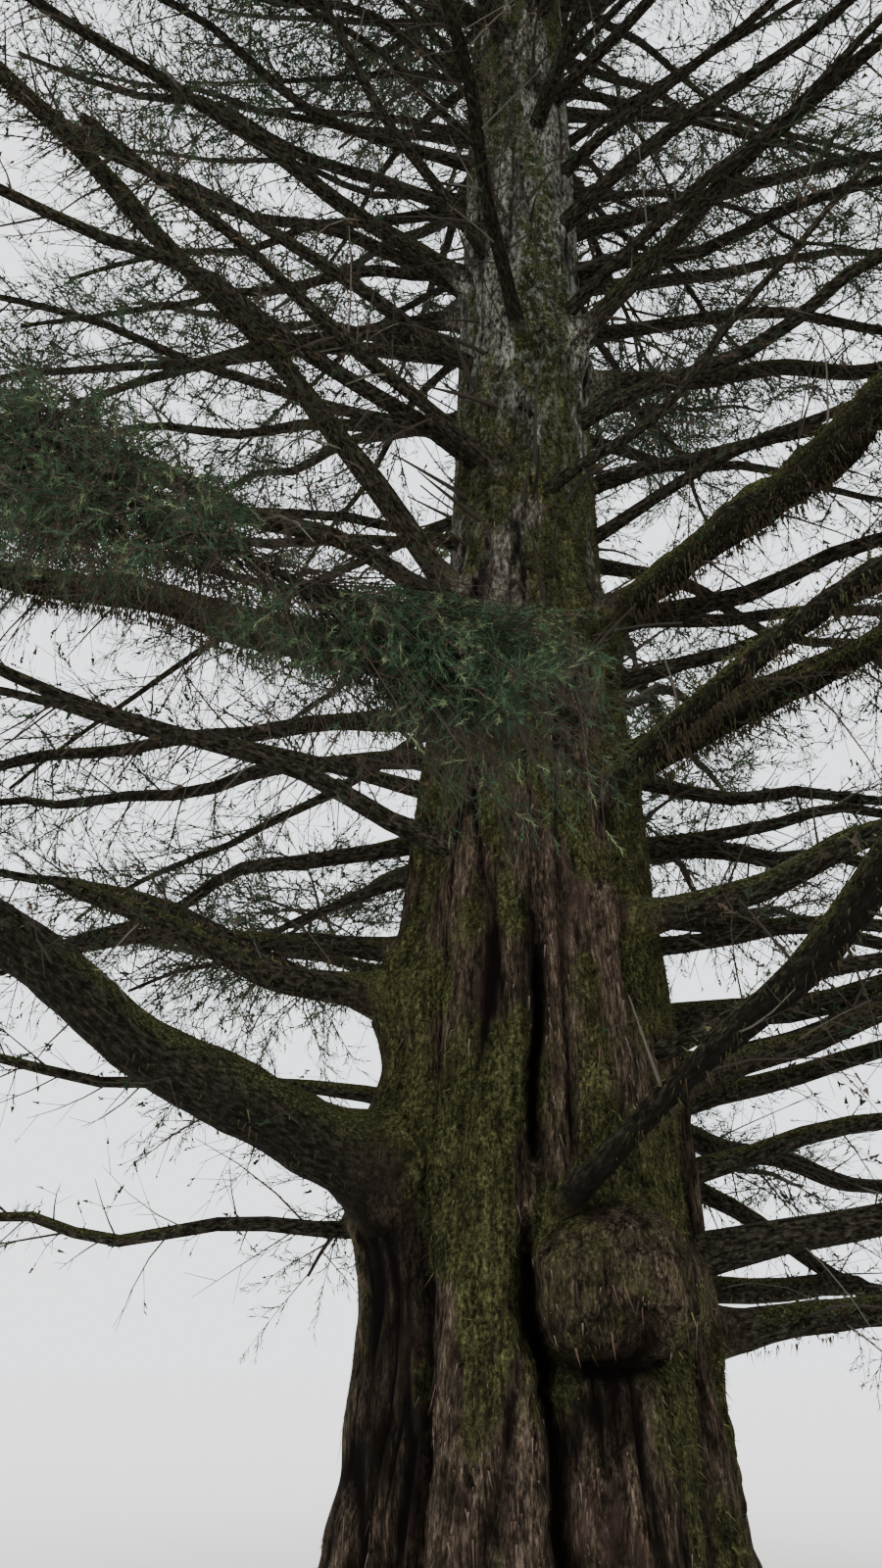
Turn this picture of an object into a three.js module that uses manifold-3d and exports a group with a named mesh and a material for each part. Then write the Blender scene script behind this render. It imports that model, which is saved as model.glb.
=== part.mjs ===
// Giant sequoia about 33 m tall, in millimetres with +Z up and the flat cut under its trunk at the origin.
// Azimuths are degrees from +X toward +Y. Seen from -Y, the burl is on the right-hand half of the trunk.
import * as THREE from 'three';
import { mergeVertices } from 'three/addons/utils/BufferGeometryUtils.js';
import Module from 'manifold-3d';

const wasm = await Module();
wasm.setup();

// Trunk: radius at each height, lean to the right up to leanTop, and the count of sides and rings
const trunkHeight = 33000;
const trunkProfile = [
  [0, 1480], [300, 1300], [700, 1150], [1600, 1035], [2700, 995], [4000, 930], [4800, 860], [5600, 790],
  [6400, 700], [7400, 615], [9600, 570], [12200, 530], [15500, 470], [20000, 370], [26000, 215],
  [31000, 75], [33000, 15],
];
const trunkLean = 0.0214;
const leanTop = 20000;
const trunkSides = 36;
const lowerRings = 16;
const upperRings = 7;
const lowerTop = 6300;

// Rounded columns of the trunk, deepest at the ground and gone where the trunk is slim
const columnCount = 7;
const columnDepth = 0.07;
const columnTop = 7500;
const columnAzimuth = 247;

// Dark furrows between the columns: azimuth, foot, head, depth, half width in degrees
const furrows = [
  { azimuth: 268, foot: -600, head: 5200, depth: 260, half: 9 },
  { azimuth: 228, foot: -500, head: 2800, depth: 150, half: 9 },
  { azimuth: 303, foot: 3700, head: 5100, depth: 140, half: 8 },
  { azimuth: 345, foot: -400, head: 2200, depth: 130, half: 9 },
  { azimuth: 118, foot: -500, head: 3600, depth: 170, half: 9 },
  { azimuth: 45, foot: -500, head: 2600, depth: 150, half: 9 },
];

// Burl on the right-hand column, round above and cut under below
const burl = { azimuth: 294, height: 2050, half: 30, rise: 560, overhang: 430, depth: 300 };

// Limbs: azimuth of the root, heading, root height, rise per length, lift toward the tip, length,
// diameter at the root and at the tip
const boughs = {
  left_lowest_bough: [205, 212, 2690, 0.37, 0.17, 4300, 460, 240],
  left_broken_bough: [195, 200, 3890, 0.16, 0.13, 2300, 330, 230],
  left_level_bough: [165, 160, 4340, 0.18, -0.16, 4200, 180, 100],
  left_arching_bough: [165, 165, 6220, 0.19, -0.34, 4300, 190, 100],
  front_drooping_bough: [238, 226, 6720, -0.05, -0.20, 3200, 190, 110],
  left_mossy_bough: [200, 200, 6410, 0.05, 0.00, 4200, 290, 150],
  left_steep_bough: [214, 215, 7000, 1.05, -0.66, 4300, 230, 110],
  left_crossing_bough: [252, 215, 8060, 0.44, -0.12, 3700, 190, 90],
  left_high_bough: [205, 205, 10700, 0.30, 0.08, 4300, 190, 100],
  left_rear_bough: [158, 158, 10680, 0.35, -0.38, 4200, 200, 100],
  front_high_bough: [266, 254, 9600, 0.56, -0.20, 3800, 230, 110],
  right_lowest_bough: [5, 5, 1830, 0.05, 0.10, 4100, 280, 140],
  burl_bough: [283, 309, 2500, 0.62, -0.06, 4200, 280, 140],
  right_rising_bough: [355, 355, 3370, 0.28, 0.00, 4200, 250, 120],
  right_sinking_bough: [35, 35, 3220, -0.16, 0.25, 4200, 200, 100],
  right_forward_bough: [312, 350, 4260, 0.24, 0.05, 4300, 240, 120],
  right_thin_bough: [28, 28, 5280, 0.12, 0.00, 4200, 200, 100],
  right_great_mossy_bough: [325, 322, 6740, 0.36, 0.10, 4300, 350, 170],
  right_inner_mossy_bough: [300, 325, 5150, 0.52, -0.20, 4200, 220, 100],
  right_outer_mossy_bough: [322, 338, 5420, 0.33, -0.05, 4300, 250, 120],
  right_high_bough: [0, 0, 9640, 0.10, -0.05, 4300, 220, 110],
  right_crossing_bough: [320, 325, 9780, 0.66, -0.50, 4300, 240, 110],
  rear_lowest_bough: [78, 80, 3300, 0.12, 0.10, 4300, 300, 150],
  rear_middle_bough: [112, 112, 5500, 0.20, 0.00, 4300, 260, 130],
  rear_high_bough: [70, 70, 8700, 0.32, -0.10, 4300, 240, 120],
};
const boughSides = 6;
const boughRings = 4;
const collarWidening = 0.38;
const collarLength = 260;
const rootDepth = 420;

// Foliage carried by boughs: its bough, turn of the stem from the bough's heading, its rise and length,
// and the length of its twigs
const boughFoliage = {
  left_lowest_foliage: ['left_lowest_bough', 5, 0.10, 1500, 1400],
  left_level_foliage: ['left_level_bough', -8, -0.25, 1400, 1400],
  left_arching_foliage: ['left_arching_bough', 6, -0.10, 1500, 1300],
  front_hanging_foliage: ['front_drooping_bough', 136, -0.55, 4400, 900],
  left_mossy_foliage: ['left_mossy_bough', 8, 0.05, 1600, 1400],
  left_steep_foliage: ['left_steep_bough', 10, -0.05, 1600, 1400],
  left_high_foliage: ['left_high_bough', -14, 0.10, 1500, 1300],
  left_rear_foliage: ['left_rear_bough', -12, 0.05, 1500, 1400],
  front_high_foliage: ['front_high_bough', 8, -0.55, 2000, 1400],
  right_lowest_foliage: ['right_lowest_bough', -6, -0.02, 1500, 1400],
  burl_foliage: ['burl_bough', -10, 0.05, 1500, 1300],
  right_rising_foliage: ['right_rising_bough', 2, -0.05, 1400, 1300],
  right_sinking_foliage: ['right_sinking_bough', 8, 0.10, 1500, 1400],
  right_forward_foliage: ['right_forward_bough', -16, 0.15, 1500, 1300],
  right_thin_foliage: ['right_thin_bough', 4, 0.10, 1500, 1400],
  right_great_mossy_foliage: ['right_great_mossy_bough', -8, 0.10, 1600, 1400],
  right_outer_mossy_foliage: ['right_outer_mossy_bough', 10, 0.10, 1400, 1300],
  right_high_foliage: ['right_high_bough', 8, 0.10, 1500, 1400],
  right_crossing_foliage: ['right_crossing_bough', -6, 0.20, 1500, 1400],
  rear_lowest_foliage: ['rear_lowest_bough', 0, 0.00, 1500, 1500],
  rear_middle_foliage: ['rear_middle_bough', 6, 0.05, 1500, 1500],
  rear_high_foliage: ['rear_high_bough', 10, 0.10, 1500, 1500],
};
const stemLeave = 0.3;

// Foliage carried by the trunk: a rising spiral of long stems, then the leader beside the trunk's tip
const crownStems = 11;
const crownFoot = 12600;
const crownHead = 27600;
const crownFirstAzimuth = 286;
const goldenAngle = 137.5;
const crownStemLowest = 5300;
const crownStemHighest = 1300;
const crownSpreadLowest = 2300;
const crownSpreadHighest = 1100;
const crownSprayLowest = 2200;
const crownSprayHighest = 1200;
const leader = { azimuth: 120, height: 29300, length: 2600, rise: 2.2, spread: 900, spray: 1000 };

// Twigs and sprays of every mass
const stemSides = 3;
const stemRings = 3;
const stemTip = 30;
const twigCount = 4;
const crownTwigsLowest = 6;
const crownTwigsHighest = 5;
const twigSides = 3;
const twigRoot = 46;
const twigTip = 12;
const twigAngle = 58;
const twigFlatness = 0.75;
const sprayPerTwig = 1.22;
const sprayThickness = 52;
const sprayFold = 0.4;
const sprayRoll = 0.9;
const shortestEdge = 6;

// One side of a spray's toothed outline, from its foot to its tip, as shares of its length
const sprayTeeth = [[0.36, 0.21], [0.40, 0.08], [0.66, 0.16], [0.69, 0.06]];

// Clearances
const seatGap = 0.5;
const limbGap = 40;
const neighbourGap = 90;

const radians = (degrees) => degrees * Math.PI / 180;
const mix = (a, b, t) => a + (b - a) * t;
const smooth = (t) => {
  const s = Math.min(Math.max(t, 0), 1);
  return s * s * (3 - 2 * s);
};

// A repeatable number from 0 to 1 for two whole numbers
const chance = (a, b) => {
  const value = Math.sin(a * 127.1 + b * 311.7) * 43758.5453;
  return value - Math.floor(value);
};

const flat = (azimuth) => new THREE.Vector3(Math.cos(radians(azimuth)), Math.sin(radians(azimuth)), 0);

// How far azimuth is from centre, in degrees from -180 to 180
const turnFrom = (azimuth, centre) => ((azimuth - centre + 540) % 360 + 360) % 360 - 180;

// Trunk surface

function plainRadius(z) {
  const upper = trunkProfile.findIndex(([height]) => height >= z);
  const i = Math.max(upper, 1);
  const [z0, r0] = trunkProfile[i - 1];
  const [z1, r1] = trunkProfile[i];
  return mix(r0, r1, (z - z0) / (z1 - z0));
}

function columnSwell(azimuth, z) {
  const fade = 1 - smooth(z / columnTop);
  return columnDepth * fade * Math.cos(radians(columnCount * (azimuth - columnAzimuth)));
}

function furrowDepth(azimuth, z) {
  let depth = 0;
  for (const furrow of furrows) {
    const across = Math.abs(turnFrom(azimuth, furrow.azimuth)) / furrow.half;
    const along = (z - furrow.foot) / (furrow.head - furrow.foot);
    if (across < 1 && along > 0 && along < 1) {
      depth += furrow.depth * (1 - smooth(across)) * Math.sqrt(Math.sin(Math.PI * along));
    }
  }
  return depth;
}

function burlSwell(azimuth, z) {
  const across = turnFrom(azimuth, burl.azimuth) / burl.half;
  const along = (z - burl.height) / (z > burl.height ? burl.rise : burl.overhang);
  const squared = across * across + along * along;
  return squared < 1 ? burl.depth * Math.sqrt(1 - squared) : 0;
}

const trunkRadius = (azimuth, z) =>
  plainRadius(z) * (1 + columnSwell(azimuth, z)) - furrowDepth(azimuth, z) + burlSwell(azimuth, z);

const trunkAxis = (z) => new THREE.Vector3(trunkLean * Math.min(z, leanTop), 0, z);

const trunkPoint = (azimuth, z) => trunkAxis(z).addScaledVector(flat(azimuth), trunkRadius(azimuth, z));

// Solids

// A mesh of manifold-3d from a closed geometry
function solidOf(geometry) {
  geometry.deleteAttribute('normal');
  geometry.deleteAttribute('uv');
  const merged = mergeVertices(geometry, 1e-4);
  return new wasm.Manifold(new wasm.Mesh({
    numProp: 3,
    vertProperties: new Float32Array(merged.attributes.position.array),
    triVerts: new Uint32Array(merged.index.array),
  }));
}

function geometryOf(solid) {
  const mesh = solid.getMesh();
  const geometry = new THREE.BufferGeometry();
  geometry.setAttribute('position', new THREE.BufferAttribute(mesh.vertProperties, 3));
  geometry.setIndex(new THREE.BufferAttribute(mesh.triVerts, 1));
  geometry.computeVertexNormals();
  return geometry;
}

// The largest piece alone, so a loose scrap is dropped and a sealed hollow is filled
function largestPiece(solid) {
  const pieces = solid.decompose();
  return pieces.reduce((best, piece) => (piece.volume() > best.volume() ? piece : best));
}

// A cylinder's vertices moved to place(angle, share of its height, share of its radius)
function bentCylinder(sides, rings, pointed, place) {
  const geometry = new THREE.CylinderGeometry(pointed ? 0 : 1, 1, 1, sides, rings);
  const position = geometry.attributes.position;
  for (let i = 0; i < position.count; i += 1) {
    const along = position.getY(i) + 0.5;
    const full = pointed ? 1 - along : 1;
    const out = Math.hypot(position.getX(i), position.getZ(i)) / (full || 1);
    const angle = Math.atan2(position.getX(i), position.getZ(i));
    const point = place(angle, along, out);
    position.setXYZ(i, point.x, point.y, point.z);
  }
  return geometry;
}

function trunkSolid(gap) {
  const rings = lowerRings + upperRings;
  const heightAt = (along) => {
    const ring = along * rings;
    if (ring <= lowerRings) return lowerTop * ring / lowerRings;
    const share = (ring - lowerRings) / upperRings;
    return mix(lowerTop, trunkHeight, Math.pow(share, 1.25));
  };
  const place = (angle, along, out) => {
    const z = heightAt(along);
    const azimuth = angle * 180 / Math.PI;
    return trunkAxis(z).addScaledVector(flat(azimuth), out * (trunkRadius(azimuth, z) + gap));
  };
  return solidOf(bentCylinder(trunkSides, rings, false, place));
}

// A limb round path(t), t from 0 to 1, with radius(t); it ends flat, or in a point
function limbSolid(sides, rings, path, radius, pointed = false) {
  const place = (angle, along, out) => {
    const tangent = path(along + 0.005).sub(path(along - 0.005)).normalize();
    const side = new THREE.Vector3().crossVectors(tangent, new THREE.Vector3(0, 0, 1));
    if (side.length() < 0.05) side.set(1, 0, 0);
    side.normalize();
    const up = new THREE.Vector3().crossVectors(tangent, side);
    const width = pointed && along > 0.999 ? 0 : out * radius(along);
    return path(along)
      .addScaledVector(side, width * Math.cos(angle))
      .addScaledVector(up, width * Math.sin(angle));
  };
  return solidOf(bentCylinder(sides, rings, pointed, place));
}

// Boughs

function boughPath([at, heading, height, rise, lift, length]) {
  const root = trunkPoint(at, height);
  const away = flat(heading);
  return (s) => root.clone()
    .addScaledVector(away, s)
    .add(new THREE.Vector3(0, 0, rise * s + lift * s * Math.max(s, 0) / (2 * length)));
}

function boughRadius([, , , , , length, rootDiameter, tipDiameter], s) {
  const taper = Math.pow(Math.min(Math.max(s / length, 0), 1), 0.8);
  const collar = 1 + collarWidening * Math.exp(-Math.max(s, 0) / collarLength);
  return mix(rootDiameter, tipDiameter, taper) / 2 * collar;
}

function boughSolid(row, trunkCut) {
  const [, , , , , length] = row;
  const path = boughPath(row);
  const reach = (t) => mix(-rootDepth, length, t);
  const whole = limbSolid(boughSides, boughRings, (t) => path(reach(t)), (t) => boughRadius(row, reach(t)));
  return largestPiece(whole.subtract(trunkCut));
}

// Stems of the masses: base, direction and length; a stem on the trunk starts inside it and is cut by it

function stemOnBough([boughName, turn, rise, length, spread]) {
  const row = boughs[boughName];
  const [, heading, , , , boughLength, , tipDiameter] = row;
  const path = boughPath(row);
  const start = path(boughLength).sub(path(boughLength - 10)).normalize();
  const bend = flat(heading + turn).setZ(rise).normalize();
  const base = path(boughLength).addScaledVector(start, seatGap);
  const spray = spread * sprayPerTwig;
  return { base, start, bend, length, radius: tipDiameter / 2, spread, spray, twigs: twigCount };
}

function stemOnTrunk(index) {
  const share = index / (crownStems - 1);
  const height = mix(crownFoot, crownHead, share);
  const azimuth = crownFirstAzimuth + goldenAngle * index;
  const rise = mix(0.15, 1.1, share);
  const start = flat(azimuth).setZ(rise).normalize();
  const bend = flat(azimuth).setZ(rise - 0.3).normalize();
  const base = trunkPoint(azimuth, height).addScaledVector(start, -plainRadius(height) * 0.6);
  const length = mix(crownStemLowest, crownStemHighest, share);
  const spread = mix(crownSpreadLowest, crownSpreadHighest, share);
  const spray = mix(crownSprayLowest, crownSprayHighest, share);
  const twigs = Math.round(mix(crownTwigsLowest, crownTwigsHighest, share));
  return { base, start, bend, length, radius: mix(95, 38, share), spread, spray, twigs, onTrunk: true };
}

function stemOfLeader() {
  const start = flat(leader.azimuth).setZ(leader.rise).normalize();
  const bend = flat(leader.azimuth).setZ(leader.rise * 3).normalize();
  const base = trunkPoint(leader.azimuth, leader.height).addScaledVector(start, -60);
  const { length, spread, spray } = leader;
  return { base, start, bend, length, radius: 34, spread, spray, twigs: crownTwigsHighest, onTrunk: true };
}

// A stem leaves along start and soon turns to bend
function stemPath({ base, start, bend, length }) {
  const turnPoint = base.clone().addScaledVector(start, length * stemLeave);
  const end = turnPoint.clone().addScaledVector(bend, length * (1 - stemLeave));
  return (t) => base.clone().multiplyScalar((1 - t) * (1 - t))
    .addScaledVector(turnPoint, 2 * t * (1 - t))
    .addScaledVector(end, t * t);
}

// Twigs and sprays: each is listed first, then kept only where it stays in its own space

const axisPoints = (path, count) => Array.from({ length: count + 1 }, (_, i) => path(i / count));

function twigsOf(stem, seed) {
  const path = stemPath(stem);
  return Array.from({ length: stem.twigs }, (_, i) => {
    const t = mix(stem.onTrunk ? 0.35 : 0.22, 0.9, i / (stem.twigs - 1));
    const tangent = path(t + 0.01).sub(path(t - 0.01)).normalize();
    const side = new THREE.Vector3().crossVectors(tangent, new THREE.Vector3(0, 0, 1)).normalize();
    const up = new THREE.Vector3().crossVectors(side, tangent);
    const turn = radians(goldenAngle * i + 360 * chance(seed, 1));
    const lean = radians(twigAngle * mix(0.85, 1.15, chance(seed, 10 + i)));
    const direction = tangent.clone().multiplyScalar(Math.cos(lean))
      .addScaledVector(side, Math.sin(lean) * Math.cos(turn))
      .addScaledVector(up, Math.sin(lean) * Math.sin(turn) * twigFlatness)
      .normalize();
    const length = stem.spread * mix(1, 0.6, t) * mix(0.85, 1.1, chance(seed, 30 + i));
    return { from: path(t), direction, length };
  });
}

const twigPath = ({ from, direction, length }) => (t) => from.clone().addScaledVector(direction, length * t);

// One spray on the side of each twig and one at its end
function spraysOf(twig, seed, size) {
  const path = twigPath(twig);
  const level = new THREE.Vector3().crossVectors(twig.direction, new THREE.Vector3(0, 0, 1)).normalize();
  const side = chance(seed, 3) < 0.5 ? -1 : 1;
  const places = [
    { share: 0.5, turn: side * mix(0.6, 1.1, chance(seed, 50)) },
    { share: 0.94, turn: -side * mix(0.05, 0.3, chance(seed, 51)) },
  ];
  return places.map(({ share, turn }, i) => {
    const tilt = new THREE.Vector3(0, 0, mix(-0.3, 0.35, chance(seed, 70 + i)));
    const direction = twig.direction.clone().addScaledVector(level, turn).add(tilt).normalize();
    return { from: path(share), direction, length: size * mix(0.85, 1.15, chance(seed, 90 + i)) };
  });
}

// A spray: a thin toothed blade with a ridge on both faces, its foot sunk to the axis of the twig
function spraySolid({ from, direction, length }, seed) {
  const level = new THREE.Vector3().crossVectors(direction, new THREE.Vector3(0, 0, 1)).normalize();
  const face = new THREE.Vector3().crossVectors(level, direction);
  const roll = mix(-sprayRoll, sprayRoll, chance(seed, 7));
  const wide = level.clone().multiplyScalar(Math.cos(roll)).addScaledVector(face, Math.sin(roll));
  const thick = new THREE.Vector3().crossVectors(direction, wide);
  const farSide = sprayTeeth.map(([along, across]) => [along, -across]);
  const outline = [[0, 0], ...farSide, [1, 0], ...sprayTeeth.toReversed()];
  const columns = outline.length + 1;
  const geometry = new THREE.SphereGeometry(1, outline.length, 2);
  const position = geometry.attributes.position;
  for (let i = 0; i < position.count; i += 1) {
    const row = Math.floor(i / columns);
    const [along, across] = row === 1 ? outline[(i % columns) % outline.length] : [sprayFold, 0];
    const point = from.clone()
      .addScaledVector(direction, along * length)
      .addScaledVector(wide, across * length)
      .addScaledVector(thick, (1 - row) * sprayThickness / 2);
    position.setXYZ(i, point.x, point.y, point.z);
  }
  return solidOf(geometry);
}

// Space: a point belongs to a mass if its own stem is nearest and no limb is close

function limbClear(point, limbs, gap) {
  return limbs.every(({ points, radius }) => points.every((p) => p.distanceTo(point) > radius + gap));
}

const nearest = (point, points) => Math.min(...points.map((p) => p.distanceTo(point)));

function trunkClear(point, gap) {
  const axis = trunkAxis(point.z);
  const away = Math.hypot(point.x - axis.x, point.y - axis.y);
  return point.z > gap && away > plainRadius(Math.min(point.z, trunkHeight)) + gap;
}

function staysIn(points, own, others, limbs) {
  return points.every((point) => {
    const mine = nearest(point, own);
    return trunkClear(point, limbGap) && limbClear(point, limbs, limbGap)
      && others.every((other) => nearest(point, other) > mine + neighbourGap);
  });
}

function massSolid(stem, seed, own, others, limbs, trunkCut) {
  const path = stemPath(stem);
  const stemRadius = (t) => mix(stem.radius, stemTip, t);
  let solid = limbSolid(stemSides, stemRings, path, stemRadius, true);
  const tip = { from: path(0.9), direction: path(1).sub(path(0.9)).normalize(), length: stem.spray };
  const pieces = [spraySolid(tip, seed)];
  twigsOf(stem, seed).forEach((twig, i) => {
    const twigSeed = seed * 17 + i;
    const along = twigPath(twig);
    if (!staysIn([0.4, 0.7, 1].map(along), own, others, limbs)) return;
    pieces.push(limbSolid(twigSides, 1, along, (t) => mix(twigRoot, twigTip, t), true));
    spraysOf(twig, twigSeed, stem.spray).forEach((spray, j) => {
      const reach = [0.5, 1].map((t) => twigPath(spray)(t));
      if (staysIn(reach, own, others, limbs)) pieces.push(spraySolid(spray, twigSeed * 7 + j));
    });
  });
  for (const piece of pieces) solid = solid.add(piece);
  solid = solid.simplify(shortestEdge);
  if (stem.onTrunk) solid = solid.subtract(trunkCut);
  return largestPiece(solid);
}

// Materials

const material = (color, roughness) => new THREE.MeshStandardMaterial({ color, roughness, metalness: 0 });
const trunkBark = material(0x4a3a2a, 0.95);
const boughBark = material(0x3b3022, 0.95);
const mossyBark = material(0x4c4a24, 1);
const foliageGreen = material(0x2f4a30, 0.85);

// Assembly

function buildTree() {
  const tree = new THREE.Group();
  const place = (name, solid, finish) => {
    const mesh = new THREE.Mesh(geometryOf(solid), finish);
    mesh.name = name;
    tree.add(mesh);
  };

  place('trunk', trunkSolid(0), trunkBark);
  const trunkCut = trunkSolid(seatGap);

  const limbs = [];
  for (const [name, row] of Object.entries(boughs)) {
    place(name, boughSolid(row, trunkCut), name.includes('mossy') ? mossyBark : boughBark);
    const path = boughPath(row);
    const [, , , , , length, rootDiameter] = row;
    limbs.push({ points: axisPoints((t) => path(t * length), 30), radius: rootDiameter / 2 });
  }

  const stems = Object.entries(boughFoliage).map(([name, row]) => ({ name, ...stemOnBough(row) }));
  for (let i = 0; i < crownStems; i += 1) {
    stems.push({ name: `crown_foliage_${i + 1}`, ...stemOnTrunk(i) });
  }
  stems.push({ name: 'leader_foliage', ...stemOfLeader() });

  const axes = stems.map((stem) => axisPoints(stemPath(stem), 12));
  stems.forEach((stem, i) => {
    const others = axes.filter((_, j) => j !== i);
    place(stem.name, massSolid(stem, i + 1, axes[i], others, limbs, trunkCut), foliageGreen);
  });
  return tree;
}

export default buildTree();
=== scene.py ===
import bpy
import numpy as np
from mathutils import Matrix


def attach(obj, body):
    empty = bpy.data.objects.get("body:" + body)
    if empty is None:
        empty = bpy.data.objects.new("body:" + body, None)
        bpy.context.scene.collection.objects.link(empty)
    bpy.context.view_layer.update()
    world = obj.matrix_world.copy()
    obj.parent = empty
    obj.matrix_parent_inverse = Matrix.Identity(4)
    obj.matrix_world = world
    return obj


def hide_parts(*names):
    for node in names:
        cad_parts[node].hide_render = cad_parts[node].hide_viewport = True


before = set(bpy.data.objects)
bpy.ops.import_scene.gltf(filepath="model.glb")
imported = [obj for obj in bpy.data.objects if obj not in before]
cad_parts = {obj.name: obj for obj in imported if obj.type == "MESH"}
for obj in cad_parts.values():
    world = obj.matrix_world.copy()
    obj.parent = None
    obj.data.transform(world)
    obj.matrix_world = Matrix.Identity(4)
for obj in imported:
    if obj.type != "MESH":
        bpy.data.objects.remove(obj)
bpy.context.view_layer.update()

RNG = np.random.default_rng(7)
UP = np.array([0, 0, 1.0])
PIECE_TRIANGLES = 190000
AT_ONCE = 2000
FRONT_MASS = "front_hanging_foliage"

# Camera: where the photographer stood, the tilt of the phone and its lens
CAMERA_AT = (-0.53, -8.0, 1.6)
CAMERA_TILT = 26.5
CAMERA_FOCAL_PIXELS = 1204
PHOTO_SIZE = (900, 1600)
SENSOR_WIDTH = 36

# Trunk, as in the source. Here and below, a table by height is a pair of heights and values.
TRUNK_HEIGHT = 33.0
PROFILE = ((0, 0.3, 0.7, 1.6, 2.7, 4.0, 4.8, 5.6, 6.4, 7.4, 9.6, 12.2, 15.5, 20, 26, 31, 33),
           (1.48, 1.30, 1.15, 1.035, 0.995, 0.93, 0.86, 0.79, 0.70, 0.615, 0.57, 0.53, 0.47, 0.37, 0.215,
            0.075, 0.015))
TRUNK_LEAN = 0.0214
LEAN_TOP = 20.0
COLUMN_COUNT = 7
COLUMN_DEPTH = 0.07
COLUMN_TOP = 7.5
COLUMN_AZIMUTH = 247

# Furrows: azimuth, foot, head, depth, half width in degrees
FURROWS = (
    (268, -0.6, 5.2, 0.26, 9),
    (228, -0.5, 2.8, 0.15, 9),
    (303, 3.7, 5.1, 0.14, 8),
    (345, -0.4, 2.2, 0.13, 9),
    (118, -0.5, 3.6, 0.17, 9),
    (45, -0.5, 2.6, 0.15, 9),
)
BURL = {"azimuth": 294, "height": 2.05, "half": 30, "rise": 0.56, "overhang": 0.43, "depth": 0.30}

# Limbs, as in the source: azimuth, heading, root height, rise, lift, length, root and tip diameter,
# and the foliage on their tips: turn, rise, stem length, twig length
LIMBS = (
    ("left_lowest", (205, 212, 2.69, 0.37, 0.17, 4.3, 0.46, 0.24), (5, 0.10, 1.5, 1.4)),
    ("left_broken", (195, 200, 3.89, 0.16, 0.13, 2.3, 0.33, 0.23), None),
    ("left_level", (165, 160, 4.34, 0.18, -0.16, 4.2, 0.18, 0.10), (-8, -0.25, 1.4, 1.4)),
    ("left_arching", (165, 165, 6.22, 0.19, -0.34, 4.3, 0.19, 0.10), (6, -0.10, 1.5, 1.3)),
    ("front_drooping", (238, 226, 6.72, -0.05, -0.20, 3.2, 0.19, 0.11), (136, -0.55, 4.4, 0.9)),
    ("left_mossy", (200, 200, 6.41, 0.05, 0.00, 4.2, 0.29, 0.15), (8, 0.05, 1.6, 1.4)),
    ("left_steep", (214, 215, 7.00, 1.05, -0.66, 4.3, 0.23, 0.11), (10, -0.05, 1.6, 1.4)),
    ("left_crossing", (252, 215, 8.06, 0.44, -0.12, 3.7, 0.19, 0.09), None),
    ("left_high", (205, 205, 10.70, 0.30, 0.08, 4.3, 0.19, 0.10), (-14, 0.10, 1.5, 1.3)),
    ("left_rear", (158, 158, 10.68, 0.35, -0.38, 4.2, 0.20, 0.10), (-12, 0.05, 1.5, 1.4)),
    ("front_high", (266, 254, 9.60, 0.56, -0.20, 3.8, 0.23, 0.11), (8, -0.55, 2.0, 1.4)),
    ("right_lowest", (5, 5, 1.83, 0.05, 0.10, 4.1, 0.28, 0.14), (-6, -0.02, 1.5, 1.4)),
    ("burl", (283, 309, 2.50, 0.62, -0.06, 4.2, 0.28, 0.14), (-10, 0.05, 1.5, 1.3)),
    ("right_rising", (355, 355, 3.37, 0.28, 0.00, 4.2, 0.25, 0.12), (2, -0.05, 1.4, 1.3)),
    ("right_sinking", (35, 35, 3.22, -0.16, 0.25, 4.2, 0.20, 0.10), (8, 0.10, 1.5, 1.4)),
    ("right_forward", (312, 350, 4.26, 0.24, 0.05, 4.3, 0.24, 0.12), (-16, 0.15, 1.5, 1.3)),
    ("right_thin", (28, 28, 5.28, 0.12, 0.00, 4.2, 0.20, 0.10), (4, 0.10, 1.5, 1.4)),
    ("right_great_mossy", (325, 322, 6.74, 0.36, 0.10, 4.3, 0.35, 0.17), (-8, 0.10, 1.6, 1.4)),
    ("right_inner_mossy", (300, 325, 5.15, 0.52, -0.20, 4.2, 0.22, 0.10), None),
    ("right_outer_mossy", (322, 338, 5.42, 0.33, -0.05, 4.3, 0.25, 0.12), (10, 0.10, 1.4, 1.3)),
    ("right_high", (0, 0, 9.64, 0.10, -0.05, 4.3, 0.22, 0.11), (8, 0.10, 1.5, 1.4)),
    ("right_crossing", (320, 325, 9.78, 0.66, -0.50, 4.3, 0.24, 0.11), (-6, 0.20, 1.5, 1.4)),
    ("rear_lowest", (78, 80, 3.30, 0.12, 0.10, 4.3, 0.30, 0.15), (0, 0.00, 1.5, 1.5)),
    ("rear_middle", (112, 112, 5.50, 0.20, 0.00, 4.3, 0.26, 0.13), (6, 0.05, 1.5, 1.5)),
    ("rear_high", (70, 70, 8.70, 0.32, -0.10, 4.3, 0.24, 0.12), (10, 0.10, 1.5, 1.5)),
)
BOUGHS = {name + "_bough": row for name, row, _ in LIMBS}
BOUGH_FOLIAGE = {name + "_bough": foliage for name, _, foliage in LIMBS if foliage}
COLLAR_WIDENING = 0.38
COLLAR_LENGTH = 0.26
ROOT_DEPTH = 0.42

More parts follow.
